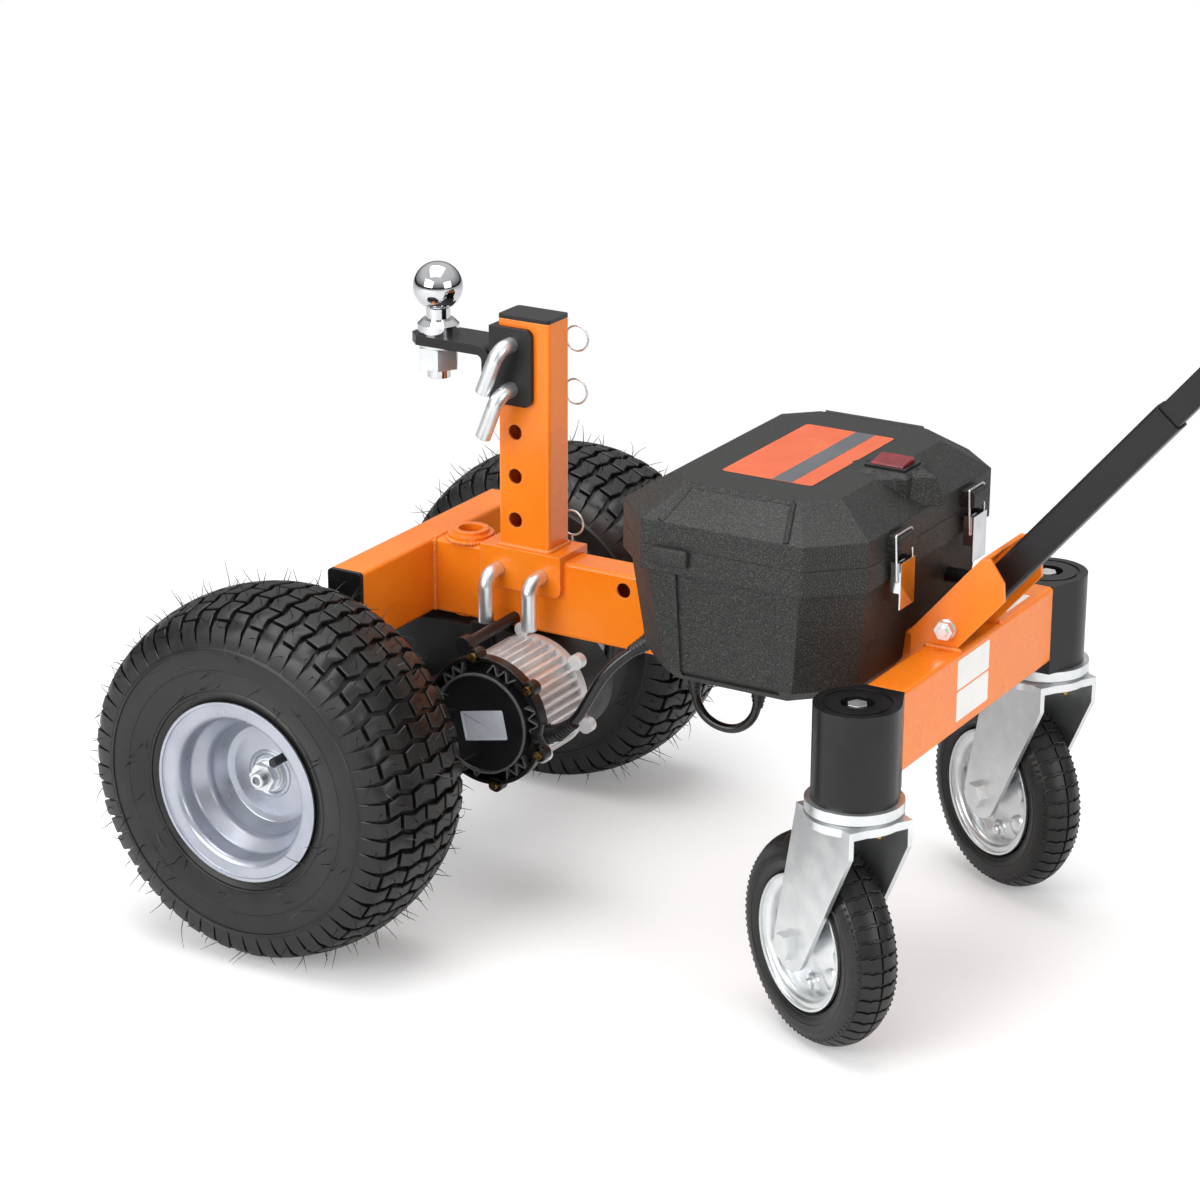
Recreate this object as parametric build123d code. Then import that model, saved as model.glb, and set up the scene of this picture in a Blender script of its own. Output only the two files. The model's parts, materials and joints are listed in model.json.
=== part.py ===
from build123d import *
import math
import os

# Electric trailer dolly in millimetres: X runs from the drive axle toward the casters and the handle,
# Y runs across and Z runs up from the ground. The near side is minus Y. Every piece is drawn with the
# drive axle at X = 0 and moved at the end so that the middle of the whole length lies at X = 0.

# Fits
rotating_fit = 0.05
sliding_fit = 0.1
loose_gap = 0.3

# Steel frame
tube_width = 40.0
tube_height = 80.0
tube_wall = 3.0
tube_corner = 4.0
frame_top = 360.0
rear_tube_length = 300.0
spine_length = 571.0
front_tube_length = 336.0
cap_head = 5.0
cap_plug = 15.0
frame_bottom = frame_top - tube_height
tube_middle = frame_top - tube_height / 2
spine_start = tube_width / 2
spine_end = spine_start + spine_length
front_tube_x = spine_end + tube_width / 2

# Holes and pins that set the height and place of the mast
pin_radius = 7.9
pin_hole_radius = 8.0
pin_leg_drop = 50.0
pin_bend_radius = 14.0
pin_reach = 24.0
pin_tail = 14.0
pin_lean = 22.0
clip_wire_radius = 1.0
clip_loop_radius = 13.0
clip_leg = 6.0
clip_play = 0.2
clip_reach = 41.0
spine_clip_turn = 90.0
mast_clip_turns = (-15.0, -2.0)
spine_hole_drop = 17.0
spine_holes = (102.5, 154.0, 246.5, 298.0)
spine_pins = 2
saddle_thickness = 7.0
saddle_margin = 22.0
saddle_drop = 37.0
saddle_corner = 8.0
mast_depth = 60.0
mast_width = 40.0
mast_height = 239.0
mast_hole_pitch = 46.5
mast_hole_count = 5
mast_hole_edge = 20.0
mast_first_hole = 29.0
mast_cap_thickness = 4.0
mast_x = 129.0
spine_hole_z = frame_top - spine_hole_drop
saddle_bottom = frame_top - saddle_drop
mast_bottom = frame_top + saddle_thickness
mast_top = mast_bottom + mast_height
mast_hole_x = mast_x - mast_depth / 2 + mast_hole_edge
mast_holes = [mast_bottom + mast_first_hole + i * mast_hole_pitch for i in range(mast_hole_count)]

# Tow ball and its mount
ball_radius = 25.4
ball_centre_height = 47.8
ball_neck_radius = 12.3
ball_collar_radius = 21.3
ball_collar_height = 14.0
ball_collar_chamfer = 5.0
ball_x = 15.5
bar_width = 50.0
bar_thickness = 10.0
bar_end_x = -8.0
bar_corner = 12.0
bar_bend = 16.0
bar_drop = 46.0
bar_top_gap = 31.0
stud_radius = 12.0
stud_length = 37.0
washer_thickness = 5.0
washer_radius = 20.0
ball_nut_width = 38.0
ball_nut_height = 22.0
channel_wall = 6.0
channel_cheek = 43.0
channel_below = 88.0
channel_corner = 8.0
socket_x = 52.4
socket_bore = 13.0
socket_wall = 6.0
socket_rise = 11.0
socket_flange = 24.0
socket_flange_height = 7.0
bar_top = mast_top - bar_top_gap
channel_web_x = mast_x - mast_depth / 2 - loose_gap

# Drive wheels on one live axle
drive_radius = 188.0
drive_width = 155.0
drive_track = 551.0
tire_wall = 9.0
tread_drop = 14.0
tread_shoulder = 9.0
rim_lip_radius = 91.0
rim_seat_radius = 76.0
rim_well_radius = 62.0
rim_width = 140.0
rim_sheet = 3.0
rim_seat_share = 0.68
rim_ramp_share = 0.5
rim_well_share = 0.3
rim_disc_radius = 51.0
rim_disc_offset = 14.5
rim_dish_depth = 14.0
hub_radius = 20.0
hub_length = 45.0
axle_radius = 12.5
axle_stud_radius = 8.0
axle_stud_length = 22.0
axle_nut_width = 26.0
axle_nut_height = 12.0
axle_washer_radius = 17.0
axle_washer_thickness = 3.0
axle_tube_radius = 25.0
axle_bush_length = 22.0
axle_tube_gap = 5.5
hanger_y = 105.0
hanger_thickness = 8.0
hanger_half_width = 20.0
wheel_y = drive_track / 2
hub_face = wheel_y + rim_disc_offset
axle_tube_end = hub_face - hub_length - axle_tube_gap

# Gearbox and motor
first_module = 2.0
first_pinion_teeth = 12
first_gear_teeth = 48
second_module = 2.5
second_pinion_teeth = 12
second_gear_teeth = 59
gear_line_angle = 11.24
tooth_share = 0.8
tooth_tip_share = 0.5
tooth_root_share = 1.35
tooth_root_limit = 0.42
tooth_depth_below = 1.25
gear_width = 16.0
gear_gap = 4.0
gearbox_wall = 6.0
gearbox_inner_y = -18.0
gearbox_play = 1.75
layshaft_radius = 9.0
layshaft_recess = 2.0
motor_radius = 62.0
motor_fin_depth = 8.0
motor_fins = 40
motor_fin_root_share = 0.24
motor_fin_tip_share = 0.12
motor_length = 88.0
motor_cap_radius = 68.0
motor_cap_base = 12.0
motor_cap_drum = 53.0
motor_cap_depth = 20.0
motor_cap_ribs = 24
motor_rib = 2.4
motor_screw_count = 6
motor_screw_angle = 100.0
motor_screw_circle = 68.0
motor_lug_radius = 8.0
motor_lug_depth = 10.0
motor_screw_head = 4.5
motor_screw_radius = 3.0
rotor_radius = 36.0
rotor_length = 66.0
rotor_shaft_radius = 8.0
torque_tab_x = 70.0
torque_tab_width = 25.0
torque_tab_thickness = 5.0
torque_tab_drop = 26.0
torque_bolt_share = 0.6
torque_bolt_radius = 4.0
torque_rod_x = 118.0
torque_rod_rise = 11.0
torque_rod_radius = 6.0
torque_rod_length = 100.0
torque_rod_bush = 9.0
first_centre = first_module * (first_pinion_teeth + first_gear_teeth) / 2
second_centre = second_module * (second_pinion_teeth + second_gear_teeth) / 2
second_gear_tip = second_module * (second_gear_teeth + 2) / 2
line_x = math.cos(math.radians(gear_line_angle))
line_z = math.sin(math.radians(gear_line_angle))
layshaft_x = second_centre * line_x
layshaft_z = drive_radius + second_centre * line_z
motor_x = (first_centre + second_centre) * line_x
motor_z = drive_radius + (first_centre + second_centre) * line_z
first_gear_y = gearbox_inner_y + gear_gap
second_gear_y = first_gear_y + gear_width + gear_gap
gearbox_inner_end = second_gear_y + gear_width + gear_gap
gearbox_near = gearbox_inner_y - gearbox_wall
gearbox_far = gearbox_inner_end + gearbox_wall
motor_near = gearbox_near - motor_length

# Casters
caster_x = 605.0
caster_offset = 44.75
housing_radius = 41.0
housing_height = 93.0
housing_neck_share = 0.25
housing_cap_radius = 36.0
housing_cap_height = 7.0
housing_cap_hole = 16.0
housing_spigot = 25.0
kingpin_radius = 10.0
kingpin_head_radius = 8.5
kingpin_head_height = 6.0
kingpin_nut_width = 27.0
kingpin_nut_height = 12.0
kingpin_end = 2.0
swivel_radius = 46.7
swivel_plate = 10.0
race_height = 4.0
race_radius = 39.0
fork_plate = 8.0
fork_side = 5.0
fork_inside = 60.0
fork_half_top = 44.0
fork_skirt = 22.0
fork_foot_radius = 26.0
caster_trail = 50.0
caster_heading = 29.0
caster_radius = 105.0
caster_width = 52.0
caster_rim_radius = 66.0
caster_rim_seat = 58.0
caster_rim_width = 44.0
caster_rim_sheet = 3.0
caster_dish_share = 0.2
caster_dish_radius_share = 0.6
caster_dish_hub_share = 0.8
caster_hub_radius = 16.0
caster_hub_length = 58.0
caster_axle_radius = 8.0
caster_axle_nut = 24.0
caster_axle_nut_height = 10.0
caster_y = front_tube_length / 2 + caster_offset
housing_bottom = frame_top - housing_height
fork_top = housing_bottom - swivel_plate - race_height

# Battery box
box_start = 312.0
box_end = 574.0
box_half_width = 179.0
box_corner = 45.5
box_body_height = 140.0
box_rim = 25.0
box_step = 5.0
box_drop = 40.0
box_draft = 11.75
box_foot = 12.0
box_foot_inset = 10.0
box_wall = 4.0
box_channel_wall = 4.0
box_cut_margin = 1.0
panel_depth = 3.0
panel_start = 392.0
panel_length = 105.0
lid_band = 24.3
lid_height = 52.6
lid_inset_side = 43.0
lid_inset_end = 43.0
lid_corner = 29.0
boss_start = 505.0
boss_length = 54.0
boss_half_width = 26.0
boss_rise = 4.0
bezel_x = 531.0
bezel_length = 43.0
bezel_width = 35.0
bezel_border = 4.0
bezel_wall = 2.0
bezel_lip = 2.5
bezel_depth = 16.0
rocker_tilt = 10.0
rocker_height = 12.0
rocker_pin = 1.5
rocker_side_gap = 1.8
rocker_edge = 1.5
lid_hinge_radius = 5.0
lid_hinge_pin_radius = 2.5
lid_hinge_offset = 6.0
lid_hinge_half = 90.0
lid_hinge_count = 5
battery_length = 181.0
battery_width = 77.0
battery_height = 167.0
battery_gap = 6.0
battery_terminal = 6.0
battery_post_share = 0.15
controller_length = 110.0
controller_height = 32.0
controller_slots = 5
controller_slot_half = 3.0
controller_slot_depth = 6.0
box_bottom = frame_top - box_drop
box_parting = box_bottom + box_body_height
lid_parting = box_parting + loose_gap
lid_top = box_parting + lid_height

# Latches on the end of the box
latch_y = 80.0
latch_width = 30.0
catch_height = 17.0
catch_depth = 14.0
catch_bottom = 3.0
lever_bottom_drop = 51.0
lever_top_drop = 5.0
lever_sheet = 1.5
lever_front = 13.0
lever_pivot_x = 7.0
lever_pivot_drop = 8.0
lever_pin = 1.5
lever_flange = 30.0
bail_wire = 1.25
bail_x = 11.0
bail_drop = 23.0
bail_lean = 2.0
bail_bend = 2.0
bail_foot_bend = 1.3
ear_thickness = 2.0
ear_height = 4.0
ear_depth = 9.5
lever_bottom = box_parting - lever_bottom_drop
lever_top = box_parting - lever_top_drop
lever_pivot_z = box_parting - lever_pivot_drop
bail_z = box_parting - bail_drop

# Handle
handle_angle = 49.7
pivot_x = 614.5
pivot_height = 20.0
sleeve_width = 24.0
sleeve_depth = 30.0
sleeve_wall = 2.0
sleeve_length = 300.0
sleeve_tail = 12.0
handle_wall = 1.8
handle_length = 870.0
handle_insert = 120.0
crossbar_radius = 12.7
crossbar_wall = 1.6
crossbar_length = 380.0
grip_length = 118.0
grip_radius = 16.5
grip_end = 3.0
head_length = 64.0
head_half_width = 28.0
head_height = 26.0
head_gap = 34.0
head_corner = 5.0
throttle_offset = 8.0
throttle_width = 14.0
throttle_ring = 4.0
throttle_paddle = 46.0
direction_length = 22.0
direction_width = 14.0
direction_height = 8.0
direction_pin = 1.5
direction_side_gap = 1.5
direction_end_gap = 2.0
direction_pin_drop = 2.0
bracket_half_width = 45.0
bracket_sheet = 4.0
bracket_web_gap = 5.0
bracket_front = 20.0
bracket_reach = 78.0
bracket_corner = 13.0
bracket_tail_x = 13.5
bracket_tail_drop = 25.0
bracket_web_end = 34.0
pivot_bolt_radius = 5.0
pivot_nut_width = 17.0
pivot_nut_height = 9.0
pivot_flange_radius = 10.0
pivot_flange_height = 2.0
pivot_bolt_end = 3.0
pivot_spacer_radius = 9.0
pivot_z = frame_top + pivot_height
tube_play = 0.3

# Cables and what they go into
motor_cable_radius = 5.5
loop_cable_radius = 4.5
gland_radius = 9.0
cable_bend_share = 0.45
motor_cable_points = [
    (231, -120, 221),
    (250, -119, 236),
    (264, -117, 262),
    (278, -112, 289),
    (296, -103, 310),
    (318, -95, 326),
]
loop_cable_points = [
    (374, -100, 303),
    (374.6, -101, 283),
    (384, -102.5, 266),
    (400, -103, 257.5),
    (419, -102.5, 256.5),
    (435, -102, 266),
    (444, -101, 283),
    (444.6, -100, 303),
]
motor_gland_start = (205.0, -120.0, 212.0)
box_gland_end = (338.0, -87.7, 340.5)
plug_y = 62.0
plug_z = 394.0
plug_x = 604.0
plug_radius = 7.5

# The middle of the length, from the rear of the drive tires to the front of the grips
rear_reach = drive_radius
front_reach = pivot_x + handle_length * math.cos(math.radians(handle_angle)) + grip_radius
middle_x = (front_reach - rear_reach) / 2

sides = {"near": -1, "far": 1}


# Basic shapes
def block(x, y, z):
    corner = Pos(x[0], y[0], z[0])
    return corner * Box(x[1] - x[0], y[1] - y[0], z[1] - z[0], align=(Align.MIN, Align.MIN, Align.MIN))


def rod(start, end, radius):
    run = Vector(end) - Vector(start)
    base = Plane(origin=start, z_dir=run).location
    return base * Cylinder(radius, run.length, align=(Align.CENTER, Align.CENTER, Align.MIN))


def ring(start, end, outer, inner):
    return rod(start, end, outer) - rod(start, end, inner)


def across(x, z, y, radius):
    return rod((x, y[0], z), (x, y[1], z), radius)


def upright(x, y, z, radius):
    return rod((x, y, z[0]), (x, y, z[1]), radius)


def hex_across(x, z, y, width):
    section = RegularPolygon(width / 2, 6, major_radius=False)
    base = Plane(origin=(x, y[0], z), x_dir=(1, 0, 0), z_dir=(0, 1, 0)).location
    return extrude(base * section, y[1] - y[0])


def hex_upright(x, y, z, width):
    section = RegularPolygon(width / 2, 6, major_radius=False)
    return extrude(Pos(x, y, z[0]) * section, z[1] - z[0])


def rounded_tube(base, width, height, wall, corner, length):
    hollow = RectangleRounded(width - 2 * wall, height - 2 * wall, corner / 2)
    return extrude(base.location * (RectangleRounded(width, height, corner) - hollow), length)


def polygon(points):
    return make_face(Polyline(*points, close=True))


def side_plate(points, y):
    base = Plane(origin=(0, y[0], 0), x_dir=(1, 0, 0), z_dir=(0, -1, 0))
    return extrude(base.location * polygon(points), -(y[1] - y[0]))


def strip_outline(points, thickness):
    line = [Vector(*p) for p in points]
    shifted = []
    for i, point in enumerate(line):
        before = (point - line[i - 1]).normalized() if i else (line[1] - point).normalized()
        after = (line[i + 1] - point).normalized() if i < len(line) - 1 else before
        left = Vector(-before.Y - after.Y, before.X + after.X).normalized()
        lean = left.dot(Vector(-before.Y, before.X))
        shifted.append(point + left * (thickness / lean))
    return [(p.X, p.Y) for p in line + shifted[::-1]]


def spin(section):
    return revolve(section, Axis.Y, 360)


def tube_plug(base, width, height, wall, head, corner):
    cover = extrude(base.location * RectangleRounded(width, height, corner), head)
    inner_width = width - 2 * wall - 2 * sliding_fit
    inner_height = height - 2 * wall - 2 * sliding_fit
    plug = extrude(base.location * RectangleRounded(inner_width, inner_height, corner / 2), -cap_plug)
    return cover + plug


# Frame tubes and mast
def rear_cross_tube():
    base = Plane(origin=(0, -rear_tube_length / 2, tube_middle), x_dir=(1, 0, 0), z_dir=(0, 1, 0))
    return rounded_tube(base, tube_width, tube_height, tube_wall, tube_corner, rear_tube_length)


def tube_caps():
    caps = []
    for side in sides.values():
        origin = (0, side * rear_tube_length / 2, tube_middle)
        base = Plane(origin=origin, x_dir=(1, 0, 0), z_dir=(0, side, 0))
        caps.append(tube_plug(base, tube_width, tube_height, tube_wall, cap_head, tube_corner))
    top = Plane(origin=(mast_x, 0, mast_top), x_dir=(1, 0, 0), z_dir=(0, 0, 1))
    caps.append(tube_plug(top, mast_depth, mast_width, tube_wall, mast_cap_thickness, tube_corner))
    return Compound(children=caps)


def socket_body(radius):
    return upright(socket_x, 0, (frame_bottom, frame_top + socket_rise), radius)


def spine_tube():
    base = Plane(origin=(spine_start, 0, tube_middle), x_dir=(0, 1, 0), z_dir=(1, 0, 0))
    tube = rounded_tube(base, tube_width, tube_height, tube_wall, tube_corner, spine_length)
    for x in spine_holes:
        tube -= across(x, spine_hole_z, (-tube_width, tube_width), pin_hole_radius)
    return tube - socket_body(socket_bore + socket_wall)


def stem_socket():
    flange = upright(socket_x, 0, (frame_top, frame_top + socket_flange_height), socket_flange)
    whole = socket_body(socket_bore + socket_wall) + flange
    whole = whole - block((0, spine_start), (-socket_flange, socket_flange), (frame_bottom, mast_top))
    return whole - socket_body(socket_bore)


def front_cross_tube():
    base = Plane(origin=(front_tube_x, -front_tube_length / 2, tube_middle), x_dir=(1, 0, 0), z_dir=(0, 1, 0))
    return rounded_tube(base, tube_width, tube_height, tube_wall, tube_corner, front_tube_length)


def mast_tube():
    base = Plane(origin=(mast_x, 0, mast_bottom), x_dir=(1, 0, 0), z_dir=(0, 0, 1))
    tube = rounded_tube(base, mast_depth, mast_width, tube_wall, tube_corner, mast_height)
    for z in mast_holes:
        tube -= across(mast_hole_x, z, (-mast_width, mast_width), pin_hole_radius)
    return tube


def saddle_plate():
    start = spine_holes[0] - saddle_margin
    end = spine_holes[spine_pins - 1] + saddle_margin
    outside = tube_width / 2 + saddle_thickness
    plate = block((start, end), (-outside, outside), (saddle_bottom, mast_bottom))
    plate = plate - block((start, end), (-tube_width / 2, tube_width / 2), (saddle_bottom, frame_top))
    corners = plate.edges().filter_by(Axis.Y).filter_by_position(Axis.Z, saddle_bottom, saddle_bottom)
    plate = fillet(corners, saddle_corner)
    for x in spine_holes[:spine_pins]:
        plate -= across(x, spine_hole_z, (-outside, outside), pin_hole_radius)
    return plate


# Tow ball and its mount
def ball_bar():
    top = bar_top
    low = top - bar_drop
    leg_x = channel_web_x - channel_wall - bar_thickness
    bar = block((bar_end_x, leg_x + bar_thickness), (-bar_width / 2, bar_width / 2), (low, top))
    hollow = block((bar_end_x, leg_x), (-bar_width / 2, bar_width / 2), (low, top - bar_thickness))
    bar = bar - hollow
    outer = bar.edges().filter_by(Axis.Y).sort_by(Axis.X)[-2:].sort_by(Axis.Z)[-1]
    bar = fillet(outer, bar_bend)
    inner = bar.edges().filter_by(Axis.Y).filter_by_position(Axis.X, leg_x - 1, leg_x + 1).sort_by(Axis.Z)[-1]
    bar = fillet(inner, bar_bend - bar_thickness)
    tips = bar.edges().filter_by(Axis.Z).sort_by(Axis.X)[:2]
    bar = chamfer(tips, bar_corner)
    return bar - upright(ball_x, 0, (low, top), stud_radius + sliding_fit)


def ball_channel():
    half = mast_width / 2 + loose_gap + channel_wall
    low = mast_holes[-2] - (channel_below - mast_hole_pitch) / 2 + channel_corner / 2
    high = mast_holes[-1] + (channel_below - mast_hole_pitch) / 2 - channel_corner / 2
    start = channel_web_x - channel_wall
    shell = block((start, start + channel_wall + channel_cheek), (-half, half), (low, high))
    ends = shell.edges().filter_by(Axis.Y).sort_by(Axis.X)[-2:]
    shell = fillet(ends, channel_corner)
    inside = half - channel_wall
    shell = shell - block((channel_web_x, channel_web_x + 2 * channel_cheek), (-inside, inside), (low, high))
    for z in mast_holes[-2:]:
        shell -= across(mast_hole_x, z, (-half, half), pin_hole_radius)
    return shell


def tow_ball():
    centre = Pos(ball_x, 0, bar_top + ball_centre_height)
    ball = centre * Sphere(ball_radius)
    neck = upright(ball_x, 0, (bar_top, bar_top + ball_centre_height), ball_neck_radius)
    collar = upright(ball_x, 0, (bar_top, bar_top + ball_collar_height), ball_collar_radius)
    rim = collar.edges().filter_by(GeomType.CIRCLE).sort_by(Axis.Z)[-1]
    collar = chamfer(rim, ball_collar_chamfer)
    stud = upright(ball_x, 0, (bar_top - stud_length - bar_thickness, bar_top), stud_radius)
    return ball + neck + collar + stud


def ball_nut():
    top = bar_top - bar_thickness
    washer = ring((ball_x, 0, top - washer_thickness), (ball_x, 0, top), washer_radius, stud_radius)
    nut_top = top - washer_thickness
    nut = hex_upright(ball_x, 0, (nut_top - ball_nut_height, nut_top), ball_nut_width)
    nut = nut - upright(ball_x, 0, (nut_top - ball_nut_height, nut_top), stud_radius)
    return Compound(children=[washer, nut])


# Bent pins and their spring clips
def clip_way(turn):
    angle = math.radians(turn)
    return Vector(math.cos(angle), 0, math.sin(angle))


def bent_pin(x, z, half, lean, clip_turn):
    turn = math.radians(lean)
    down = Vector(-math.sin(turn), 0, -math.cos(turn))
    corner = Vector(x, -half - pin_reach, z)
    end = corner + down * pin_leg_drop
    path = FilletPolyline((x, half + pin_tail, z), corner, end, radius=pin_bend_radius)
    section = Plane(origin=(x, half + pin_tail, z), z_dir=(0, -1, 0)).location * Circle(pin_radius)
    pin = sweep(section, path=path)
    middle = Vector(x, half + pin_tail / 2, z)
    through = clip_way(clip_turn) * pin_radius
    return pin - rod(middle - through, middle + through, clip_wire_radius + clip_play)


def pin_places():
    cheek = tube_width / 2 + saddle_thickness
    spine = [(x, spine_hole_z, cheek, 0.0, spine_clip_turn) for x in spine_holes[:spine_pins]]
    half = mast_width / 2 + loose_gap + channel_wall
    mast = [(mast_hole_x, z, half, pin_lean, turn) for z, turn in zip(mast_holes[-2:], mast_clip_turns)]
    return spine + mast


def hitch_pins():
    return Compound(children=[bent_pin(*place) for place in pin_places()])


def pin_clips():
    clips = []
    for x, z, half, _, turn in pin_places():
        middle = Vector(x, half + pin_tail / 2, z)
        way = clip_way(turn)
        leg_end = middle + way * (clip_reach - clip_loop_radius)
        leg = rod(middle - way * (pin_radius + clip_leg), leg_end, clip_wire_radius)
        base = Plane(origin=middle + way * clip_reach, x_dir=(1, 0, 0), z_dir=(0, 1, 0))
        clips.append(leg + base.location * Torus(clip_loop_radius, clip_wire_radius))
    return Compound(children=clips)


# Drive wheels
def tire_section(radius, width, wall, bead_radius, lip_radius, bead_half, drop, shoulder):
    half = width / 2
    waist = (lip_radius + radius) / 2
    side = (radius - drop, half - shoulder)
    outer = [
        Line((bead_radius, bead_half), (lip_radius, bead_half)),
        ThreePointArc((lip_radius, bead_half), (waist, half), side),
        ThreePointArc(side, (radius, 0), (side[0], -side[1])),
        ThreePointArc((side[0], -side[1]), (waist, -half), (lip_radius, -bead_half)),
        Line((lip_radius, -bead_half), (bead_radius, -bead_half)),
    ]
    inner_half = bead_half - wall
    inner_side = (side[0] - wall, side[1] - wall)
    inner = [
        Line((bead_radius, -bead_half), (bead_radius, -inner_half)),
        Line((bead_radius, -inner_half), (lip_radius, -inner_half)),
        ThreePointArc((lip_radius, -inner_half), (waist, wall - half), (inner_side[0], -inner_side[1])),
        ThreePointArc((inner_side[0], -inner_side[1]), (radius - wall, 0), inner_side),
        ThreePointArc(inner_side, (waist, half - wall), (lip_radius, inner_half)),
        Line((lip_radius, inner_half), (bead_radius, inner_half)),
        Line((bead_radius, inner_half), (bead_radius, bead_half)),
    ]
    return make_face(outer + inner)


def drive_tire(side):
    bead_half = rim_width / 2 - rim_sheet - loose_gap
    section = tire_section(
        drive_radius,
        drive_width,
        tire_wall,
        rim_seat_radius,
        rim_lip_radius,
        bead_half,
        tread_drop,
        tread_shoulder,
    )
    return Pos(0, side * wheel_y, drive_radius) * spin(section)


def drive_rim(side):
    half = rim_width / 2
    seat = rim_seat_radius
    line = [
        (rim_lip_radius, side * (half - rim_sheet)),
        (seat, side * (half - rim_sheet)),
        (seat, side * half * rim_seat_share),
        (rim_well_radius, side * half * rim_ramp_share),
        (rim_well_radius, side * half * -rim_well_share),
        (seat, side * half * -rim_ramp_share),
        (seat, -side * (half - rim_sheet)),
        (rim_lip_radius, -side * (half - rim_sheet)),
    ]
    barrel = make_face(Polyline(*strip_outline(line, -side * rim_sheet), close=True))
    bend = rim_disc_offset
    back = bend - rim_sheet
    dish = [
        (rim_well_radius - rim_sheet / 2, side * (back + rim_dish_depth)),
        (rim_disc_radius, side * back),
        (hub_radius - rim_sheet / 2, side * back),
    ]
    disc = make_face(Polyline(*strip_outline(dish, -side * rim_sheet), close=True))
    face = side * bend
    tail = side * (bend - hub_length)
    hub = polygon([(axle_radius, tail), (hub_radius, tail), (hub_radius, face), (axle_radius, face)])
    whole = spin(barrel) + spin(disc) + spin(hub)
    return Pos(0, side * wheel_y, drive_radius) * whole


def drive_rims():
    return Compound(children=[drive_rim(side) for side in sides.values()])


def gear_outline(teeth, module, turn):
    pitch = module * teeth / 2
    root = pitch - tooth_depth_below * module
    tip = pitch + module
    step = 360 / teeth
    half = step / 4 * tooth_share
    tip_half = half * tooth_tip_share
    root_half = min(half * tooth_root_share, step * tooth_root_limit)
    points = []
    for i in range(teeth):
        middle = turn + i * step
        for radius, offset in ((root, -root_half), (tip, -tip_half), (tip, tip_half), (root, root_half)):
            angle = math.radians(middle + offset)
            points.append((radius * math.cos(angle), radius * math.sin(angle)))
    return polygon(points)


def gear_at(x, z, y, teeth, module, turn):
    base = Plane(origin=(x, y + gear_width, z), x_dir=(1, 0, 0), z_dir=(0, -1, 0)).location
    return extrude(base * gear_outline(teeth, module, turn), gear_width)


# A tooth of the followed gear points along the line of centres and the other gear has a gap there
def drive_axle():
    shaft = across(0, drive_radius, (-hub_face, hub_face), axle_radius)
    stud_end = hub_face + axle_stud_length
    studs = across(0, drive_radius, (-stud_end, stud_end), axle_stud_radius)
    gear = gear_at(0, drive_radius, second_gear_y, second_gear_teeth, second_module, gear_line_angle)
    return shaft + studs + gear


def axle_nuts():
    pieces = []
    for side in sides.values():
        face = hub_face + axle_washer_thickness
        end = face + axle_nut_height
        washer = across(0, drive_radius, sorted((side * hub_face, side * face)), axle_washer_radius)
        nut = hex_across(0, drive_radius, sorted((side * face, side * end)), axle_nut_width)
        stud = across(0, drive_radius, (-2 * end, 2 * end), axle_stud_radius)
        pieces.append(washer - stud)
        pieces.append(nut - stud)
    return Compound(children=pieces)


def layshaft():
    ends = (gearbox_near + layshaft_recess, gearbox_far - layshaft_recess)
    shaft = across(layshaft_x, layshaft_z, ends, layshaft_radius)
    turn = gear_line_angle
    gear = gear_at(layshaft_x, layshaft_z, first_gear_y, first_gear_teeth, first_module, turn)
    mesh = gear_line_angle + 180 + 180 / second_pinion_teeth
    pinion = gear_at(layshaft_x, layshaft_z, second_gear_y, second_pinion_teeth, second_module, mesh)
    return shaft + gear + pinion


def motor_rotor():
    near = motor_near + motor_cap_depth / 4
    shaft = across(motor_x, motor_z, (near, gearbox_inner_end - gear_width), rotor_shaft_radius)
    start = gearbox_near - gearbox_wall - rotor_length
    drum = across(motor_x, motor_z, (start, start + rotor_length), rotor_radius)
    mesh = gear_line_angle + 180 + 180 / first_pinion_teeth
    pinion = gear_at(motor_x, motor_z, first_gear_y, first_pinion_teeth, first_module, mesh)
    return shaft + drum + pinion


# Gearbox, motor and axle tubes
def gearbox_hull(grow, y):
    first = second_gear_tip + gearbox_play + grow
    last = first_module * (first_gear_teeth + 2) / 2 + gearbox_play + grow
    outline = make_hull(
        [
            *(Pos(0, drive_radius) * Circle(first)).edges(),
            *(Pos(layshaft_x, layshaft_z) * Circle(last)).edges(),
            *(Pos(motor_x, motor_z) * Circle(last)).edges(),
        ]
    )
    flat = Plane(origin=(0, y[0], 0), x_dir=(1, 0, 0), z_dir=(0, -1, 0))
    return extrude(flat.location * outline, -(y[1] - y[0]))


def gearbox_housing():
    shell = gearbox_hull(gearbox_wall, (gearbox_near, gearbox_far))
    shell = shell - gearbox_hull(0, (gearbox_inner_y, gearbox_inner_end))
    shell = shell - across(0, drive_radius, (-hub_face, hub_face), axle_radius + rotating_fit)
    pocket = (gearbox_near + layshaft_recess, gearbox_far - layshaft_recess)
    shell = shell - across(layshaft_x, layshaft_z, pocket, layshaft_radius + rotating_fit)
    reach = (gearbox_near, gearbox_inner_end)
    return shell - across(motor_x, motor_z, reach, rotor_shaft_radius + rotating_fit)


def axle_housing():
    pieces = []
    for side in sides.values():
        start = gearbox_far if side > 0 else gearbox_near
        ends = sorted((start, side * axle_tube_end))
        tube = across(0, drive_radius, ends, axle_tube_radius)
        plate_y = (side * hanger_y - hanger_thickness / 2, side * hanger_y + hanger_thickness / 2)
        plate = block((-hanger_half_width, hanger_half_width), plate_y, (drive_radius, frame_bottom))
        tube = tube + plate
        tube = tube - across(0, drive_radius, ends, axle_radius + rotating_fit)
        relief = sorted((start, side * (axle_tube_end - axle_bush_length)))
        pieces.append(tube - across(0, drive_radius, relief, axle_radius + sleeve_wall))
    return Compound(children=pieces)


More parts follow.
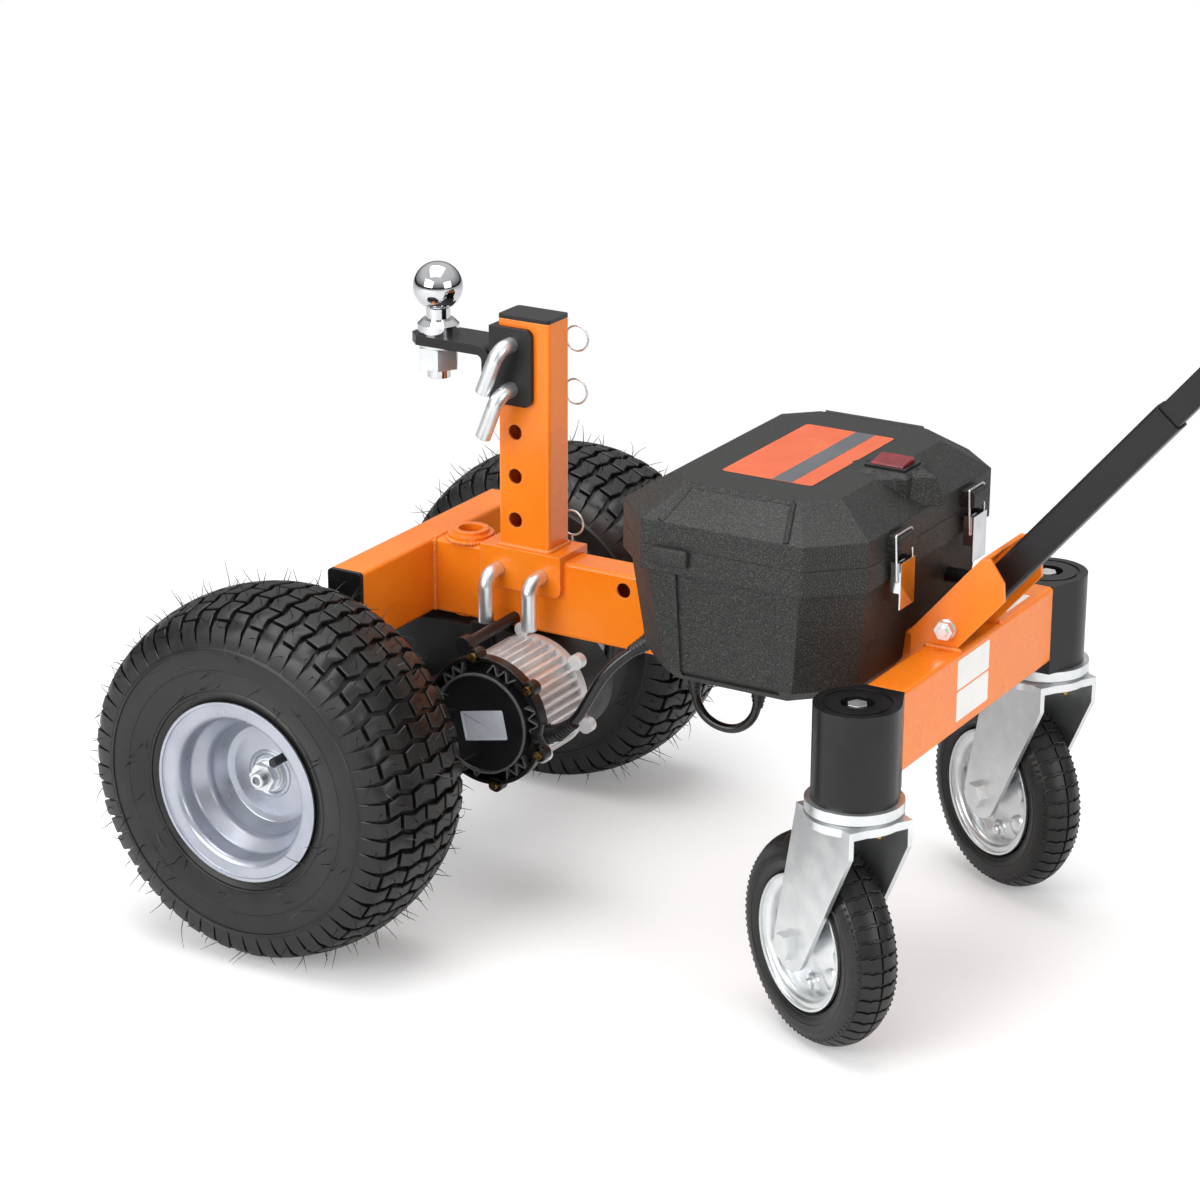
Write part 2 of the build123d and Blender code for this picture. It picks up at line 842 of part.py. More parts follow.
def ridged_outline(count, root, tip):
    points = []
    step = 360 / count
    low = motor_fin_root_share
    high = motor_fin_tip_share
    for i in range(count):
        for radius, share in ((root, -0.5), (root, -low), (tip, -high), (tip, high), (root, low)):
            angle = math.radians((i + share) * step)
            points.append((radius * math.cos(angle), radius * math.sin(angle)))
    return polygon(points)


def screw_places():
    places = []
    for i in range(motor_screw_count):
        angle = math.radians(motor_screw_angle + i * 360 / motor_screw_count)
        x = motor_x + motor_screw_circle * math.cos(angle)
        z = motor_z + motor_screw_circle * math.sin(angle)
        places.append((x, z))
    return places


def motor_body():
    base = Plane(origin=(motor_x, gearbox_near, motor_z), x_dir=(1, 0, 0), z_dir=(0, -1, 0)).location
    outline = ridged_outline(motor_fins, motor_radius - motor_fin_depth, motor_radius)
    body = extrude(base * outline, motor_length)
    flange = (gearbox_near - motor_lug_depth, gearbox_near)
    body = body + across(motor_x, motor_z, flange, motor_radius)
    for x, z in screw_places():
        body = body + across(x, z, flange, motor_lug_radius)
    cavity = (motor_near, gearbox_near - gearbox_wall)
    body = body - across(motor_x, motor_z, cavity, rotor_radius + 2 * loose_gap)
    return body - across(motor_x, motor_z, flange, rotor_shaft_radius + rotating_fit)


def motor_end_cap():
    near = motor_near - motor_cap_depth
    rim = (motor_near - motor_cap_base, motor_near)
    cap = across(motor_x, motor_z, rim, motor_cap_radius)
    trough = (rim[0], motor_near - motor_cap_base / 3)
    cap = cap - across(motor_x, motor_z, trough, motor_cap_radius - motor_screw_head)
    cap = cap + across(motor_x, motor_z, (near, motor_near), motor_cap_drum)
    reach = (motor_cap_drum - motor_rib, motor_cap_radius - motor_rib)
    half = motor_rib / 2
    rib = block(reach, trough, (-half, half))
    turns = [Pos(motor_x, 0, motor_z) * Rot(0, i * 360 / motor_cap_ribs, 0) for i in range(motor_cap_ribs)]
    cap = cap + [turn * rib for turn in turns]
    for x, z in screw_places():
        cap = cap + across(x, z, rim, motor_lug_radius)
        cap = cap - across(x, z, rim, motor_screw_radius)
    bore = (near + motor_screw_head, motor_near)
    cap = cap - across(motor_x, motor_z, bore, rotor_shaft_radius + rotating_fit)
    return cap - rod(motor_gland_start, motor_cable_points[0], gland_radius)


def motor_screws():
    pieces = []
    near = motor_near - motor_cap_base
    for x, z in screw_places():
        head = across(x, z, (near - motor_screw_head, near), motor_screw_head)
        shank = across(x, z, (near, motor_near), motor_screw_radius)
        pieces.append(head + shank)
    return Compound(children=pieces)


def gearbox_mounts():
    ends = (torque_tab_x, torque_tab_x + torque_tab_width)
    near = gearbox_near - torque_tab_thickness
    flange = block(ends, (near, tube_width / 2), (frame_bottom - torque_tab_thickness / 2, frame_bottom))
    leg = block(ends, (near, gearbox_near), (frame_bottom - torque_tab_drop, frame_bottom))
    bolt_x = torque_tab_x + torque_tab_width / 2
    bolt_z = frame_bottom - torque_tab_drop * torque_bolt_share
    bolt = across(bolt_x, bolt_z, (near - torque_bolt_radius, near), 2 * torque_bolt_radius)
    rod_z = frame_bottom + torque_rod_rise
    rod_far = -tube_width / 2
    rod_near = rod_far - torque_rod_length
    bar = across(torque_rod_x, rod_z, (rod_near, rod_far), torque_rod_radius)
    bush = across(torque_rod_x, rod_z, (rod_near, rod_near + 2 * torque_rod_radius), torque_rod_bush)
    return Compound(children=[flange + leg + bolt, bar + bush])


# Casters
def housing_outline(side):
    neck = caster_offset * housing_neck_share
    middle = side * (front_tube_length + neck) / 2
    circle = Pos(caster_x, side * caster_y) * Circle(housing_radius)
    square = Pos(front_tube_x, middle) * Rectangle(tube_width, neck)
    return make_hull([*circle.edges(), *square.edges()])


def caster_housing(side):
    body = extrude(Pos(0, 0, housing_bottom) * housing_outline(side), frame_top - housing_bottom)
    width = tube_width - 2 * tube_wall - 2 * sliding_fit
    height = tube_height - 2 * tube_wall - 2 * sliding_fit
    face = side * front_tube_length / 2
    base = Plane(origin=(front_tube_x, face, tube_middle), x_dir=(1, 0, 0), z_dir=(0, -side, 0))
    body = body + extrude(base.location * RectangleRounded(width, height, tube_corner / 2), housing_spigot)
    y = side * caster_y
    body = body - upright(caster_x, y, (frame_top - housing_cap_height, frame_top), housing_cap_radius)
    return body - upright(caster_x, y, (housing_bottom, frame_top), kingpin_radius)


def housing_caps():
    pieces = []
    for side in sides.values():
        y = side * caster_y
        cap = upright(caster_x, y, (frame_top - housing_cap_height, frame_top), housing_cap_radius)
        groove = ring(
            (caster_x, y, frame_top - rim_sheet / 2),
            (caster_x, y, frame_top),
            housing_cap_radius - rim_sheet,
            housing_cap_radius - 2 * rim_sheet,
        )
        cap = cap - groove
        pieces.append(cap - upright(caster_x, y, (housing_bottom, frame_top), housing_cap_hole))
    return Compound(children=pieces)


def kingpin_nut_top():
    return fork_top - fork_plate - loose_gap


def kingpins():
    pieces = []
    for side in sides.values():
        y = side * caster_y
        top = frame_top - housing_cap_height
        low = kingpin_nut_top() - kingpin_nut_height
        shank = upright(caster_x, y, (low - kingpin_end, top), kingpin_radius)
        crown = hex_upright(caster_x, y, (top, top + kingpin_head_height), 2 * kingpin_head_radius)
        nut = hex_upright(caster_x, y, (low, kingpin_nut_top()), kingpin_nut_width)
        pieces.append(shank + crown)
        pieces.append(nut - shank)
    return Compound(children=pieces)


def swivel_plates():
    pieces = []
    for side in sides.values():
        y = side * caster_y
        plate = upright(caster_x, y, (housing_bottom - swivel_plate, housing_bottom), swivel_radius)
        race = upright(caster_x, y, (fork_top + loose_gap, housing_bottom), race_radius)
        pieces.append(plate + race - upright(caster_x, y, (fork_top, housing_bottom), kingpin_radius))
    return Compound(children=pieces)


def caster_place(side):
    return Pos(caster_x, side * caster_y, 0) * Rot(0, 0, -caster_heading)


def fork_outline(foot):
    plate_z = fork_top - fork_plate / 2
    corner = plate_z - fork_skirt
    top = Polyline(
        (-fork_half_top, corner),
        (-fork_half_top, plate_z),
        (fork_half_top, plate_z),
        (fork_half_top, corner),
    )
    circle = Pos(-caster_trail, caster_radius) * Circle(foot)
    return make_hull([*top.edges(), *circle.edges()])


def caster_fork(side):
    low = fork_top - fork_plate
    crown = upright(0, 0, (low, fork_top), swivel_radius)
    half = fork_inside / 2
    bar = block((-fork_half_top, fork_half_top), (-half - fork_side, half + fork_side), (low, fork_top))
    whole = crown + bar
    for hand in (-1, 1):
        start = min(hand * half, hand * (half + fork_side))
        flat = Plane(origin=(0, start, 0), x_dir=(1, 0, 0), z_dir=(0, -1, 0))
        leg = extrude(flat.location * fork_outline(fork_foot_radius), -fork_side)
        whole = whole + leg
    whole = whole - across(-caster_trail, caster_radius, (-2 * half, 2 * half), caster_axle_radius)
    whole = whole - upright(0, 0, (low, fork_top), kingpin_radius + rotating_fit)
    end = half + fork_side
    axle = across(-caster_trail, caster_radius, (-end, end), caster_axle_radius)
    nuts = [
        hex_across(-caster_trail, caster_radius, (end, end + caster_axle_nut_height), caster_axle_nut),
        hex_across(-caster_trail, caster_radius, (-end - caster_axle_nut_height, -end), caster_axle_nut),
    ]
    bolt = axle + nuts[0] + nuts[1]
    return caster_place(side) * Compound(children=[whole, bolt])


def caster_tire(side):
    bead_half = caster_rim_width / 2 - caster_rim_sheet - loose_gap
    section = tire_section(
        caster_radius,
        caster_width,
        tire_wall,
        caster_rim_seat,
        caster_rim_radius,
        bead_half,
        tread_drop / 2,
        tread_drop / 2,
    )
    return caster_place(side) * Pos(-caster_trail, 0, caster_radius) * spin(section)


def caster_rim(side):
    half = caster_rim_width / 2
    seat = caster_rim_seat
    sheet = caster_rim_sheet
    line = [
        (caster_rim_radius, half - sheet),
        (seat, half - sheet),
        (seat, sheet - half),
        (caster_rim_radius, sheet - half),
    ]
    barrel = make_face(Polyline(*strip_outline(line, -sheet), close=True))
    low = half * caster_dish_share
    dish = [
        (seat - sheet / 2, low),
        (seat * caster_dish_radius_share, low),
        (caster_hub_radius - sheet, half * caster_dish_hub_share),
    ]
    disc = make_face(Polyline(*strip_outline(dish, -sheet), close=True))
    other = make_face(Polyline(*[(r, -y) for r, y in strip_outline(dish, -sheet)], close=True))
    end = caster_hub_length / 2
    bore = caster_axle_radius + rotating_fit
    hub = polygon([(bore, -end), (caster_hub_radius, -end), (caster_hub_radius, end), (bore, end)])
    whole = spin(barrel) + spin(disc) + spin(other) + spin(hub)
    return caster_place(side) * Pos(-caster_trail, 0, caster_radius) * whole


# Battery box
def octagon(start, end, half, corner):
    return polygon(
        [
            (start + corner, -half),
            (end - corner, -half),
            (end, corner - half),
            (end, half - corner),
            (end - corner, half),
            (start + corner, half),
            (start, half - corner),
            (start, corner - half),
        ]
    )


def box_level(z, inset, corner):
    return Pos(0, 0, z) * octagon(box_start + inset, box_end - inset, box_half_width - inset, corner)


def box_shape(shrink, floor):
    step = box_step + shrink
    foot = box_step + box_draft + shrink
    corner = box_corner - shrink / 2
    shelf = box_parting - box_rim + shrink
    knee = box_level(box_bottom + box_foot, foot, corner)
    upper = loft([knee, box_level(shelf, step, corner)])
    lower = loft([box_level(floor, foot + box_foot_inset, corner), knee])
    rim = extrude(box_level(shelf, shrink, corner), box_parting - shelf)
    return lower + upper + rim


def gland_cuts():
    cuts = [rod(motor_cable_points[-1], box_gland_end, gland_radius)]
    for x, y, z in (loop_cable_points[0], loop_cable_points[-1]):
        cuts.append(upright(x, y, (z, box_bottom + box_wall), gland_radius))
    inside = (box_end - 3 * box_step, plug_y, plug_z)
    cuts.append(rod(inside, (plug_x - plug_radius, plug_y, plug_z), plug_radius))
    return cuts


def latch_ears(side):
    ears = []
    for hand in (-1, 1):
        inner = side * latch_y + hand * (latch_width / 2 - 3 * ear_thickness)
        span = sorted((inner, inner + hand * ear_thickness))
        z = (lever_pivot_z - ear_height, lever_pivot_z + ear_height)
        ear = block((box_end, box_end + ear_depth), span, z)
        ears.append(ear - across(box_end + lever_pivot_x, lever_pivot_z, span, lever_pin + rotating_fit))
    return ears


def hinge_x():
    return box_start - lid_hinge_offset


def knuckle_spans(first):
    gap = loose_gap
    pitch = 2 * lid_hinge_half / lid_hinge_count
    starts = [-lid_hinge_half + i * pitch for i in range(lid_hinge_count)]
    return [(s + gap / 2, s + pitch - gap / 2) for i, s in enumerate(starts) if (i % 2 == 0) == first]


def knuckles(first, z):
    pieces = []
    for span in knuckle_spans(first):
        arm = block((hinge_x(), box_start + box_wall), span, z)
        pieces.append(across(hinge_x(), box_parting, span, lid_hinge_radius) + arm)
    return pieces


def box_body():
    outer = box_shape(0, box_bottom)
    body = outer - box_shape(box_wall, box_bottom + box_wall)
    half = tube_width / 2 + loose_gap
    inside = half + box_channel_wall
    ends = (box_start, box_end)
    hump = block(ends, (-inside, inside), (box_bottom, frame_top + box_channel_wall))
    body = body + (hump & outer)
    channel = (box_start - box_cut_margin, box_end + box_cut_margin)
    body = body - block(channel, (-half, half), (box_bottom - box_cut_margin, frame_top))
    panel = block(
        (panel_start, panel_start + panel_length),
        (-box_half_width, box_half_width),
        (box_bottom + box_foot / 2, box_parting - box_rim),
    )
    recess = (panel & outer) - box_shape(panel_depth, box_bottom)
    body = body - recess
    for side in sides.values():
        for ear in latch_ears(side):
            body = body + ear
    for piece in knuckles(True, (box_parting - lid_hinge_radius, box_parting)):
        body = body + piece
    body = body - across(hinge_x(), box_parting, (-lid_hinge_half, lid_hinge_half), lid_hinge_pin_radius)
    for cut in gland_cuts():
        body = body - cut
    return body


def lid_shape(shrink):
    band = box_parting + lid_band
    corner = box_corner - shrink / 2
    ends = (box_start + lid_inset_end, box_end - lid_inset_end)
    top_face = Pos(0, 0, lid_top - shrink) * octagon(*ends, box_half_width - lid_inset_side, lid_corner)
    rim = extrude(box_level(lid_parting, shrink, corner), band - lid_parting)
    return rim + loft([box_level(band, shrink, corner), top_face])


def boss_shape():
    ends = (boss_start, boss_start + boss_length)
    boss = block(ends, (-boss_half_width, boss_half_width), (box_parting + lid_band, lid_top + boss_rise))
    top = boss.edges().filter_by_position(Axis.Z, lid_top + boss_rise, lid_top + boss_rise)
    return chamfer(top, boss_rise)


def bezel_hole(length, width):
    return block(
        (bezel_x - length / 2, bezel_x + length / 2),
        (-width / 2, width / 2),
        (lid_top + boss_rise - bezel_depth, lid_top + boss_rise + bezel_depth),
    )


def box_lid():
    cavity = lid_shape(box_wall)
    lid = lid_shape(0) + boss_shape()
    lid = lid - cavity
    lid = lid - bezel_hole(bezel_length - bezel_border, bezel_width - bezel_border)
    for side in sides.values():
        span = (side * latch_y - latch_width / 2, side * latch_y + latch_width / 2)
        height = (box_parting + catch_bottom, box_parting + catch_bottom + catch_height)
        catch = block((box_end - box_wall, box_end + catch_depth), span, height)
        edges = catch.edges().filter_by(Axis.Y).sort_by(Axis.X)[-2:]
        lid = lid + fillet(edges, catch_bottom)
    for piece in knuckles(False, (lid_parting, box_parting + lid_hinge_radius)):
        lid = lid + piece
    pin = lid_hinge_pin_radius + rotating_fit
    lid = lid - across(hinge_x(), box_parting, (-lid_hinge_half, lid_hinge_half), pin)
    for span in knuckle_spans(True):
        space = (span[0] - loose_gap / 2, span[1] + loose_gap / 2)
        lid = lid - across(hinge_x(), box_parting, space, lid_hinge_radius + loose_gap)
    return lid


def lid_hinge_pin():
    return across(hinge_x(), box_parting, (-lid_hinge_half, lid_hinge_half), lid_hinge_pin_radius)


def switch_bezel():
    lip = block(
        (bezel_x - bezel_length / 2, bezel_x + bezel_length / 2),
        (-bezel_width / 2, bezel_width / 2),
        (lid_top + boss_rise, lid_top + boss_rise + bezel_lip),
    )
    z = lid_top + boss_rise
    low = z - bezel_depth
    length = bezel_length - bezel_border - 2 * sliding_fit
    width = bezel_width - bezel_border - 2 * sliding_fit
    body = block((bezel_x - length / 2, bezel_x + length / 2), (-width / 2, width / 2), (low, z))
    opening = block(
        (bezel_x - length / 2 + bezel_wall, bezel_x + length / 2 - bezel_wall),
        (-width / 2 + bezel_wall / 2, width / 2 - bezel_wall / 2),
        (low, z + bezel_lip),
    )
    half = rocker_length() / 2 + rocker_pin + loose_gap
    pins = rod((bezel_x - half, 0, z), (bezel_x + half, 0, z), rocker_pin + rotating_fit)
    return lip + body - opening - pins


def rocker_length():
    return bezel_length - bezel_border - 2 * bezel_wall - 4 * loose_gap


def power_rocker():
    length = rocker_length()
    width = bezel_width - bezel_border - bezel_wall - 2 * rocker_side_gap
    body = Box(length, width, rocker_height)
    pin = Rot(0, 90, 0) * Cylinder(rocker_pin, length + 2 * rocker_pin)
    body = fillet(body.edges().filter_by(Axis.X), rocker_edge)
    return Pos(bezel_x, 0, lid_top + boss_rise) * Rot(rocker_tilt, 0, 0) * (body + pin)


def batteries():
    pieces = []
    start = (box_start + box_end - battery_length) / 2
    inner = tube_width / 2 + loose_gap + box_channel_wall + battery_gap
    floor = box_bottom + box_wall
    top = floor + battery_height
    low = top - battery_terminal
    for side in sides.values():
        span = sorted((side * inner, side * (inner + battery_width)))
        case = block((start, start + battery_length), span, (floor, low))
        for share in (battery_post_share, 1 - battery_post_share):
            y = side * (inner + battery_width / 2)
            case = case + upright(start + battery_length * share, y, (low, top), battery_terminal)
        pieces.append(case)
    return Compound(children=pieces)


def controller():
    start = (box_start + box_end - controller_length) / 2
    half = tube_width / 2 + loose_gap
    low = frame_top + box_channel_wall
    top = low + controller_height
    case = block((start, start + controller_length), (-half, half), (low, top))
    for i in range(controller_slots):
        x = start + controller_length * (i + 1) / (controller_slots + 1)
        slot = (x - controller_slot_half, x + controller_slot_half)
        case = case - block(slot, (-half, half), (top - controller_slot_depth, top))
    return case


# Latches
def latch_lever(side):
    y = side * latch_y
    half = latch_width / 2
    front = box_end + lever_front
    plate = block((front, front + lever_sheet), (y - half, y + half), (lever_bottom, lever_top))
    whole = plate
    x = box_end + lever_pivot_x
    for hand in (-1, 1):
        span = sorted((y + hand * half, y + hand * (half - ear_thickness)))
        flange = block((x - 2 * lever_pin, front + lever_sheet), span, (lever_top - lever_flange, lever_top))
        hole = across(box_end + bail_x, bail_z, span, bail_wire + rotating_fit)
        whole = whole + (flange - hole)
    return whole + across(x, lever_pivot_z, (y - half, y + half), lever_pin)


def latch_bail(side):
    y = side * latch_y
    half = latch_width / 2
    out = half + bail_wire + 2 * loose_gap
    top = box_parting + catch_bottom + catch_height + bail_wire + loose_gap
    x = box_end + bail_x
    inner = half - ear_thickness
    corners = FilletPolyline(
        (x, y - inner, bail_z),
        (x, y - out, bail_z),
        (x - bail_lean, y - out, top),
        (x - bail_lean, y + out, top),
        (x, y + out, bail_z),
        (x, y + inner, bail_z),
        radius=[bail_foot_bend, bail_bend, bail_bend, bail_foot_bend],
    )
    section = Plane(origin=(x, y - inner, bail_z), z_dir=(0, -1, 0)).location * Circle(bail_wire)
    return sweep(section, path=corners)


# Handle, drawn along its own length u with v square to it, then leaned to its angle about the pivot
def handle_place():
    return Pos(pivot_x, 0, pivot_z) * Rot(0, -handle_angle, 0)


def bracket_plate(y):
    tail = bracket_tail_drop
    cosine = math.cos(math.radians(handle_angle))
    sine = math.sin(math.radians(handle_angle))
    back = sleeve_depth / 2 + bracket_web_gap + bracket_sheet
    front = -bracket_front

    def lean(u, v):
        return (pivot_x + u * cosine - v * sine, pivot_z + u * sine + v * cosine)

    rear = spine_end - bracket_tail_x
    low_u = (frame_top - pivot_z - front * cosine) / sine
    rear_u = (rear - pivot_x + back * sine) / cosine
    return side_plate(
        [
            (rear, frame_top - tail),
            lean(rear_u, back),
            lean(bracket_reach, back),
            lean(bracket_reach + bracket_corner / 2, back - bracket_corner / 2),
            lean(bracket_reach, front + bracket_corner),
            lean(bracket_reach - bracket_corner, front),
            (pivot_x + low_u * cosine - front * sine, frame_top),
            (spine_end, frame_top),
            (spine_end, frame_top - tail),
        ],
        y,
    )


def handle_bracket():
    outer = bracket_half_width
    inner = outer - bracket_sheet
    whole = bracket_plate((-outer, -inner)) + bracket_plate((inner, outer))
    back = sleeve_depth / 2 + bracket_web_gap
    web = block((-bracket_web_end, bracket_reach), (-outer, outer), (back, back + bracket_sheet))
    whole = whole + handle_place() * web
    return whole - across(pivot_x, pivot_z, (-outer, outer), pivot_bolt_radius)


def pivot_bolt():
    outer = bracket_half_width
    end = outer + pivot_nut_height
    shank = across(pivot_x, pivot_z, (-end - pivot_bolt_end, outer), pivot_bolt_radius)
    head = hex_across(pivot_x, pivot_z, (outer, end), pivot_nut_width)
    bolt = shank + head
    pieces = [bolt]
    flange = across(pivot_x, pivot_z, (-outer - pivot_flange_height, -outer), pivot_flange_radius)
    nut = hex_across(pivot_x, pivot_z, (-end, -outer), pivot_nut_width)
    pieces.append(flange + nut - shank)
    inner = outer - bracket_sheet
    start = sleeve_width / 2 + loose_gap
    for side in sides.values():
        span = sorted((side * start, side * inner))
        pieces.append(across(pivot_x, pivot_z, span, pivot_spacer_radius) - shank)
    return Compound(children=pieces)


def handle_sleeve():
    base = Plane(origin=(-sleeve_tail, 0, 0), x_dir=(0, 1, 0), z_dir=(1, 0, 0))
    length = sleeve_length + sleeve_tail
    tube = rounded_tube(base, sleeve_width, sleeve_depth, sleeve_wall, tube_corner, length)
    hole = across(0, 0, (-sleeve_width, sleeve_width), pivot_bolt_radius + rotating_fit)
    return handle_place() * (tube - hole)


def handle_tube():
    width = sleeve_width - 2 * sleeve_wall - 2 * tube_play
    depth = sleeve_depth - 2 * sleeve_wall - 2 * tube_play
    start = sleeve_length - handle_insert
    base = Plane(origin=(start, 0, 0), x_dir=(0, 1, 0), z_dir=(1, 0, 0))
    tube = rounded_tube(base, width, depth, handle_wall, tube_corner / 2, handle_length - start)
    bar = across(handle_length, 0, (-crossbar_length, crossbar_length), crossbar_radius)
    return handle_place() * (tube - bar)


def handle_crossbar():
    half = crossbar_length / 2
    outer = across(handle_length, 0, (-half, half), crossbar_radius)
    return handle_place() * (outer - across(handle_length, 0, (-half, half), crossbar_radius - crossbar_wall))


def handle_grips():
    pieces = []
    half = crossbar_length / 2
    for side in sides.values():
        span = sorted((side * (half - grip_length), side * (half + grip_end)))
        whole = across(handle_length, 0, span, grip_radius)
        hollow = across(handle_length, 0, sorted((0, side * half)), crossbar_radius)
        pieces.append(handle_place() * (whole - hollow))
    return Compound(children=pieces)


def tube_face():
    return sleeve_depth / 2 - sleeve_wall - tube_play


def control_head():
    end = handle_length - head_gap
    top = tube_face() + head_height
    case = block((end - head_length, end), (-head_half_width, head_half_width), (tube_face(), top))
    case = fillet(case.edges().filter_by(Axis.Z), head_corner)
    middle = end - head_length / 2
    half = direction_width / 2 + direction_side_gap
    pocket = block(
        (middle - direction_length / 2 - loose_gap, middle + direction_length / 2 + loose_gap),
        (-half, half),
        (top - direction_height, top),
    )
    span = (-direction_width, direction_width)
    pins = across(middle, top - direction_pin_drop, span, direction_pin + rotating_fit)
    return handle_place() * (case - pocket - pins)


def direction_rocker():
    middle = handle_length - head_gap - head_length / 2
    z = tube_face() + head_height - direction_pin_drop
    length = direction_length - 2 * direction_end_gap
    body = Box(length, direction_width, direction_height - direction_end_gap)
    pin = Rot(90, 0, 0) * Cylinder(direction_pin, 2 * direction_width)
    return handle_place() * Pos(middle, 0, z) * (body + pin)


def throttle_lever():
    start = head_half_width + throttle_offset
    span = (start, start + throttle_width)
    outer = across(handle_length, 0, span, crossbar_radius + throttle_ring)
    paddle = block(
        (handle_length - crossbar_radius - throttle_paddle, handle_length),
        span,
        (-crossbar_radius - throttle_ring, -crossbar_radius),
    )
    whole = outer + paddle
    return handle_place() * (whole - across(handle_length, 0, span, crossbar_radius + rotating_fit))


# Cables
def cord(points, radius):
    steps = [Vector(*b) - Vector(*a) for a, b in zip(points, points[1:])]
    bends = []
    for before, after in zip(steps, steps[1:]):
        turn = math.radians(before.get_angle(after))
        bends.append(cable_bend_share * min(before.length, after.length) / math.tan(turn / 2))
    path = FilletPolyline(*points, radius=bends)
    section = Plane(origin=points[0], z_dir=steps[0]).location * Circle(radius)
    whole = sweep(section, path=path)
    print("cable radii", [round(b) for b in bends])
    print("cable volume", round(whole.volume), "against", round(path.length * math.pi * radius**2))
    return whole


def motor_cable():
    return cord(motor_cable_points, motor_cable_radius)


def loop_cable():
    return cord(loop_cable_points, loop_cable_radius)


def cable_glands():
    pieces = []
    motor = motor_cable()
    loop = loop_cable()
    pieces.append(rod(motor_gland_start, motor_cable_points[0], gland_radius) - motor)
    pieces.append(rod(motor_cable_points[-1], box_gland_end, gland_radius) - motor)
    for x, y, z in (loop_cable_points[0], loop_cable_points[-1]):
        pieces.append(upright(x, y, (z, box_bottom + box_wall), gland_radius) - loop)
    socket = rod((box_end - 3 * box_step, plug_y, plug_z), (plug_x, plug_y, plug_z), plug_radius)
    plug = upright(plug_x, plug_y, (frame_top, plug_z + plug_radius), plug_radius)
    pieces.append(socket + plug)
    return Compound(children=pieces)


def write(name, shape):
    export_step(Pos(-middle_x, 0, 0) * shape, f"parts/{name}.step")


def main():
    os.makedirs("parts", exist_ok=True)
    single = [
        rear_cross_tube, tube_caps, spine_tube, stem_socket, front_cross_tube, mast_tube, saddle_plate,
        ball_bar, ball_channel, tow_ball, ball_nut, hitch_pins, pin_clips,
        drive_rims, drive_axle, axle_nuts, layshaft, motor_rotor, gearbox_housing, axle_housing,
        motor_body, motor_end_cap, motor_screws, gearbox_mounts,
        housing_caps, kingpins, swivel_plates,
        box_body, box_lid, lid_hinge_pin, switch_bezel, power_rocker, batteries, controller,
        handle_bracket, pivot_bolt, handle_sleeve, handle_tube, handle_crossbar, handle_grips,
        control_head, direction_rocker, throttle_lever,
        motor_cable, loop_cable, cable_glands,
    ]
    paired = [drive_tire, caster_housing, caster_fork, caster_tire, caster_rim, latch_lever, latch_bail]
    for piece in single:
        write(piece.__name__, piece())
    for piece in paired:
        for name, side in sides.items():
            write(f"{piece.__name__}_{name}", piece(side))


main()
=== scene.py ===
import json
import random
from math import asin, atan2, cos, hypot, pi, radians, sin, tan

import bmesh
import bpy
from bmesh.types import BMFace, BMVert
from mathutils import Matrix, Vector


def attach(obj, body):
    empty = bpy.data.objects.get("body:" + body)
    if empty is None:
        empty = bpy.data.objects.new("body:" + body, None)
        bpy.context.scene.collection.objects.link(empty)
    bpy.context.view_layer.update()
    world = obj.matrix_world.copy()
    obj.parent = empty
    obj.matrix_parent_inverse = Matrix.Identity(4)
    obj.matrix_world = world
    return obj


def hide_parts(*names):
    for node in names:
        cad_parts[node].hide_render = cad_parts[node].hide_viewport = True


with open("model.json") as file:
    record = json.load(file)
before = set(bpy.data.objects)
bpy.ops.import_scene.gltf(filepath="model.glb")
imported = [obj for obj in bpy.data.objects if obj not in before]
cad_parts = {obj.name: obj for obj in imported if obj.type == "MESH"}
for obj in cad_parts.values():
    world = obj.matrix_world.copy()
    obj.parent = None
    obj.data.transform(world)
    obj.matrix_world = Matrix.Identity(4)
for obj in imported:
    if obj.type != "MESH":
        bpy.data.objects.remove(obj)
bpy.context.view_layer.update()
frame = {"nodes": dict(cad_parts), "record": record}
nodes = frame["nodes"]
print("frame loaded:", len(nodes), "nodes")

mm = 0.001
tiny = 1e-6  # nearer than this, two places are one
middleX = 502.854  # the source's x runs from the drive axle, the frame's from the middle of the length
axisX, axisY, axisZ = Vector((1, 0, 0)), Vector((0, 1, 0)), Vector((0, 0, 1))


def at(x, y, z):
    # a place in the source's own millimetres
    return Vector(((x - middleX) * mm, y * mm, z * mm))


def addObject(name, data):
    obj = bpy.data.objects.new(name, data)
    bpy.context.scene.collection.objects.link(obj)
    return obj


# Camera, fitted to the photograph's straight edges
camera = {
    "place": (1902.8, -2871.3, 1513.8), "azimuth": 30.56, "elevation": 19.70, "roll": 0.18,
    "focalPixels": 3483.95, "pictureSide": 1200, "sensor": 36.0, "clipEnd": 60.0,
}


def setCamera(spec):
    az, el, roll = radians(spec["azimuth"]), radians(spec["elevation"]), radians(spec["roll"])
    back = Vector((sin(az) * cos(el), -cos(az) * cos(el), sin(el)))
    right = Vector((cos(az), sin(az), 0))
    level = Matrix((right, back.cross(right), back)).transposed().to_4x4()
    lens = bpy.data.cameras.new("photoCamera")
    lens.sensor_width = spec["sensor"]
    lens.lens = spec["focalPixels"] / spec["pictureSide"] * spec["sensor"]
    lens.clip_end = spec["clipEnd"]
    obj = addObject("photoCamera", lens)
    obj.matrix_world = Matrix.Translation(at(*spec["place"])) @ level @ Matrix.Rotation(roll, 4, "Z")
    bpy.context.scene.camera = obj


setCamera(camera)
bpy.context.scene.view_settings.view_transform = "Standard"
print("camera set")


# Materials
def fromHex(code):
    parts = [int(code[i:i + 2], 16) / 255 for i in (1, 3, 5)]
    return [c / 12.92 if c <= 0.04045 else ((c + 0.055) / 1.055) ** 2.4 for c in parts] + [1.0]


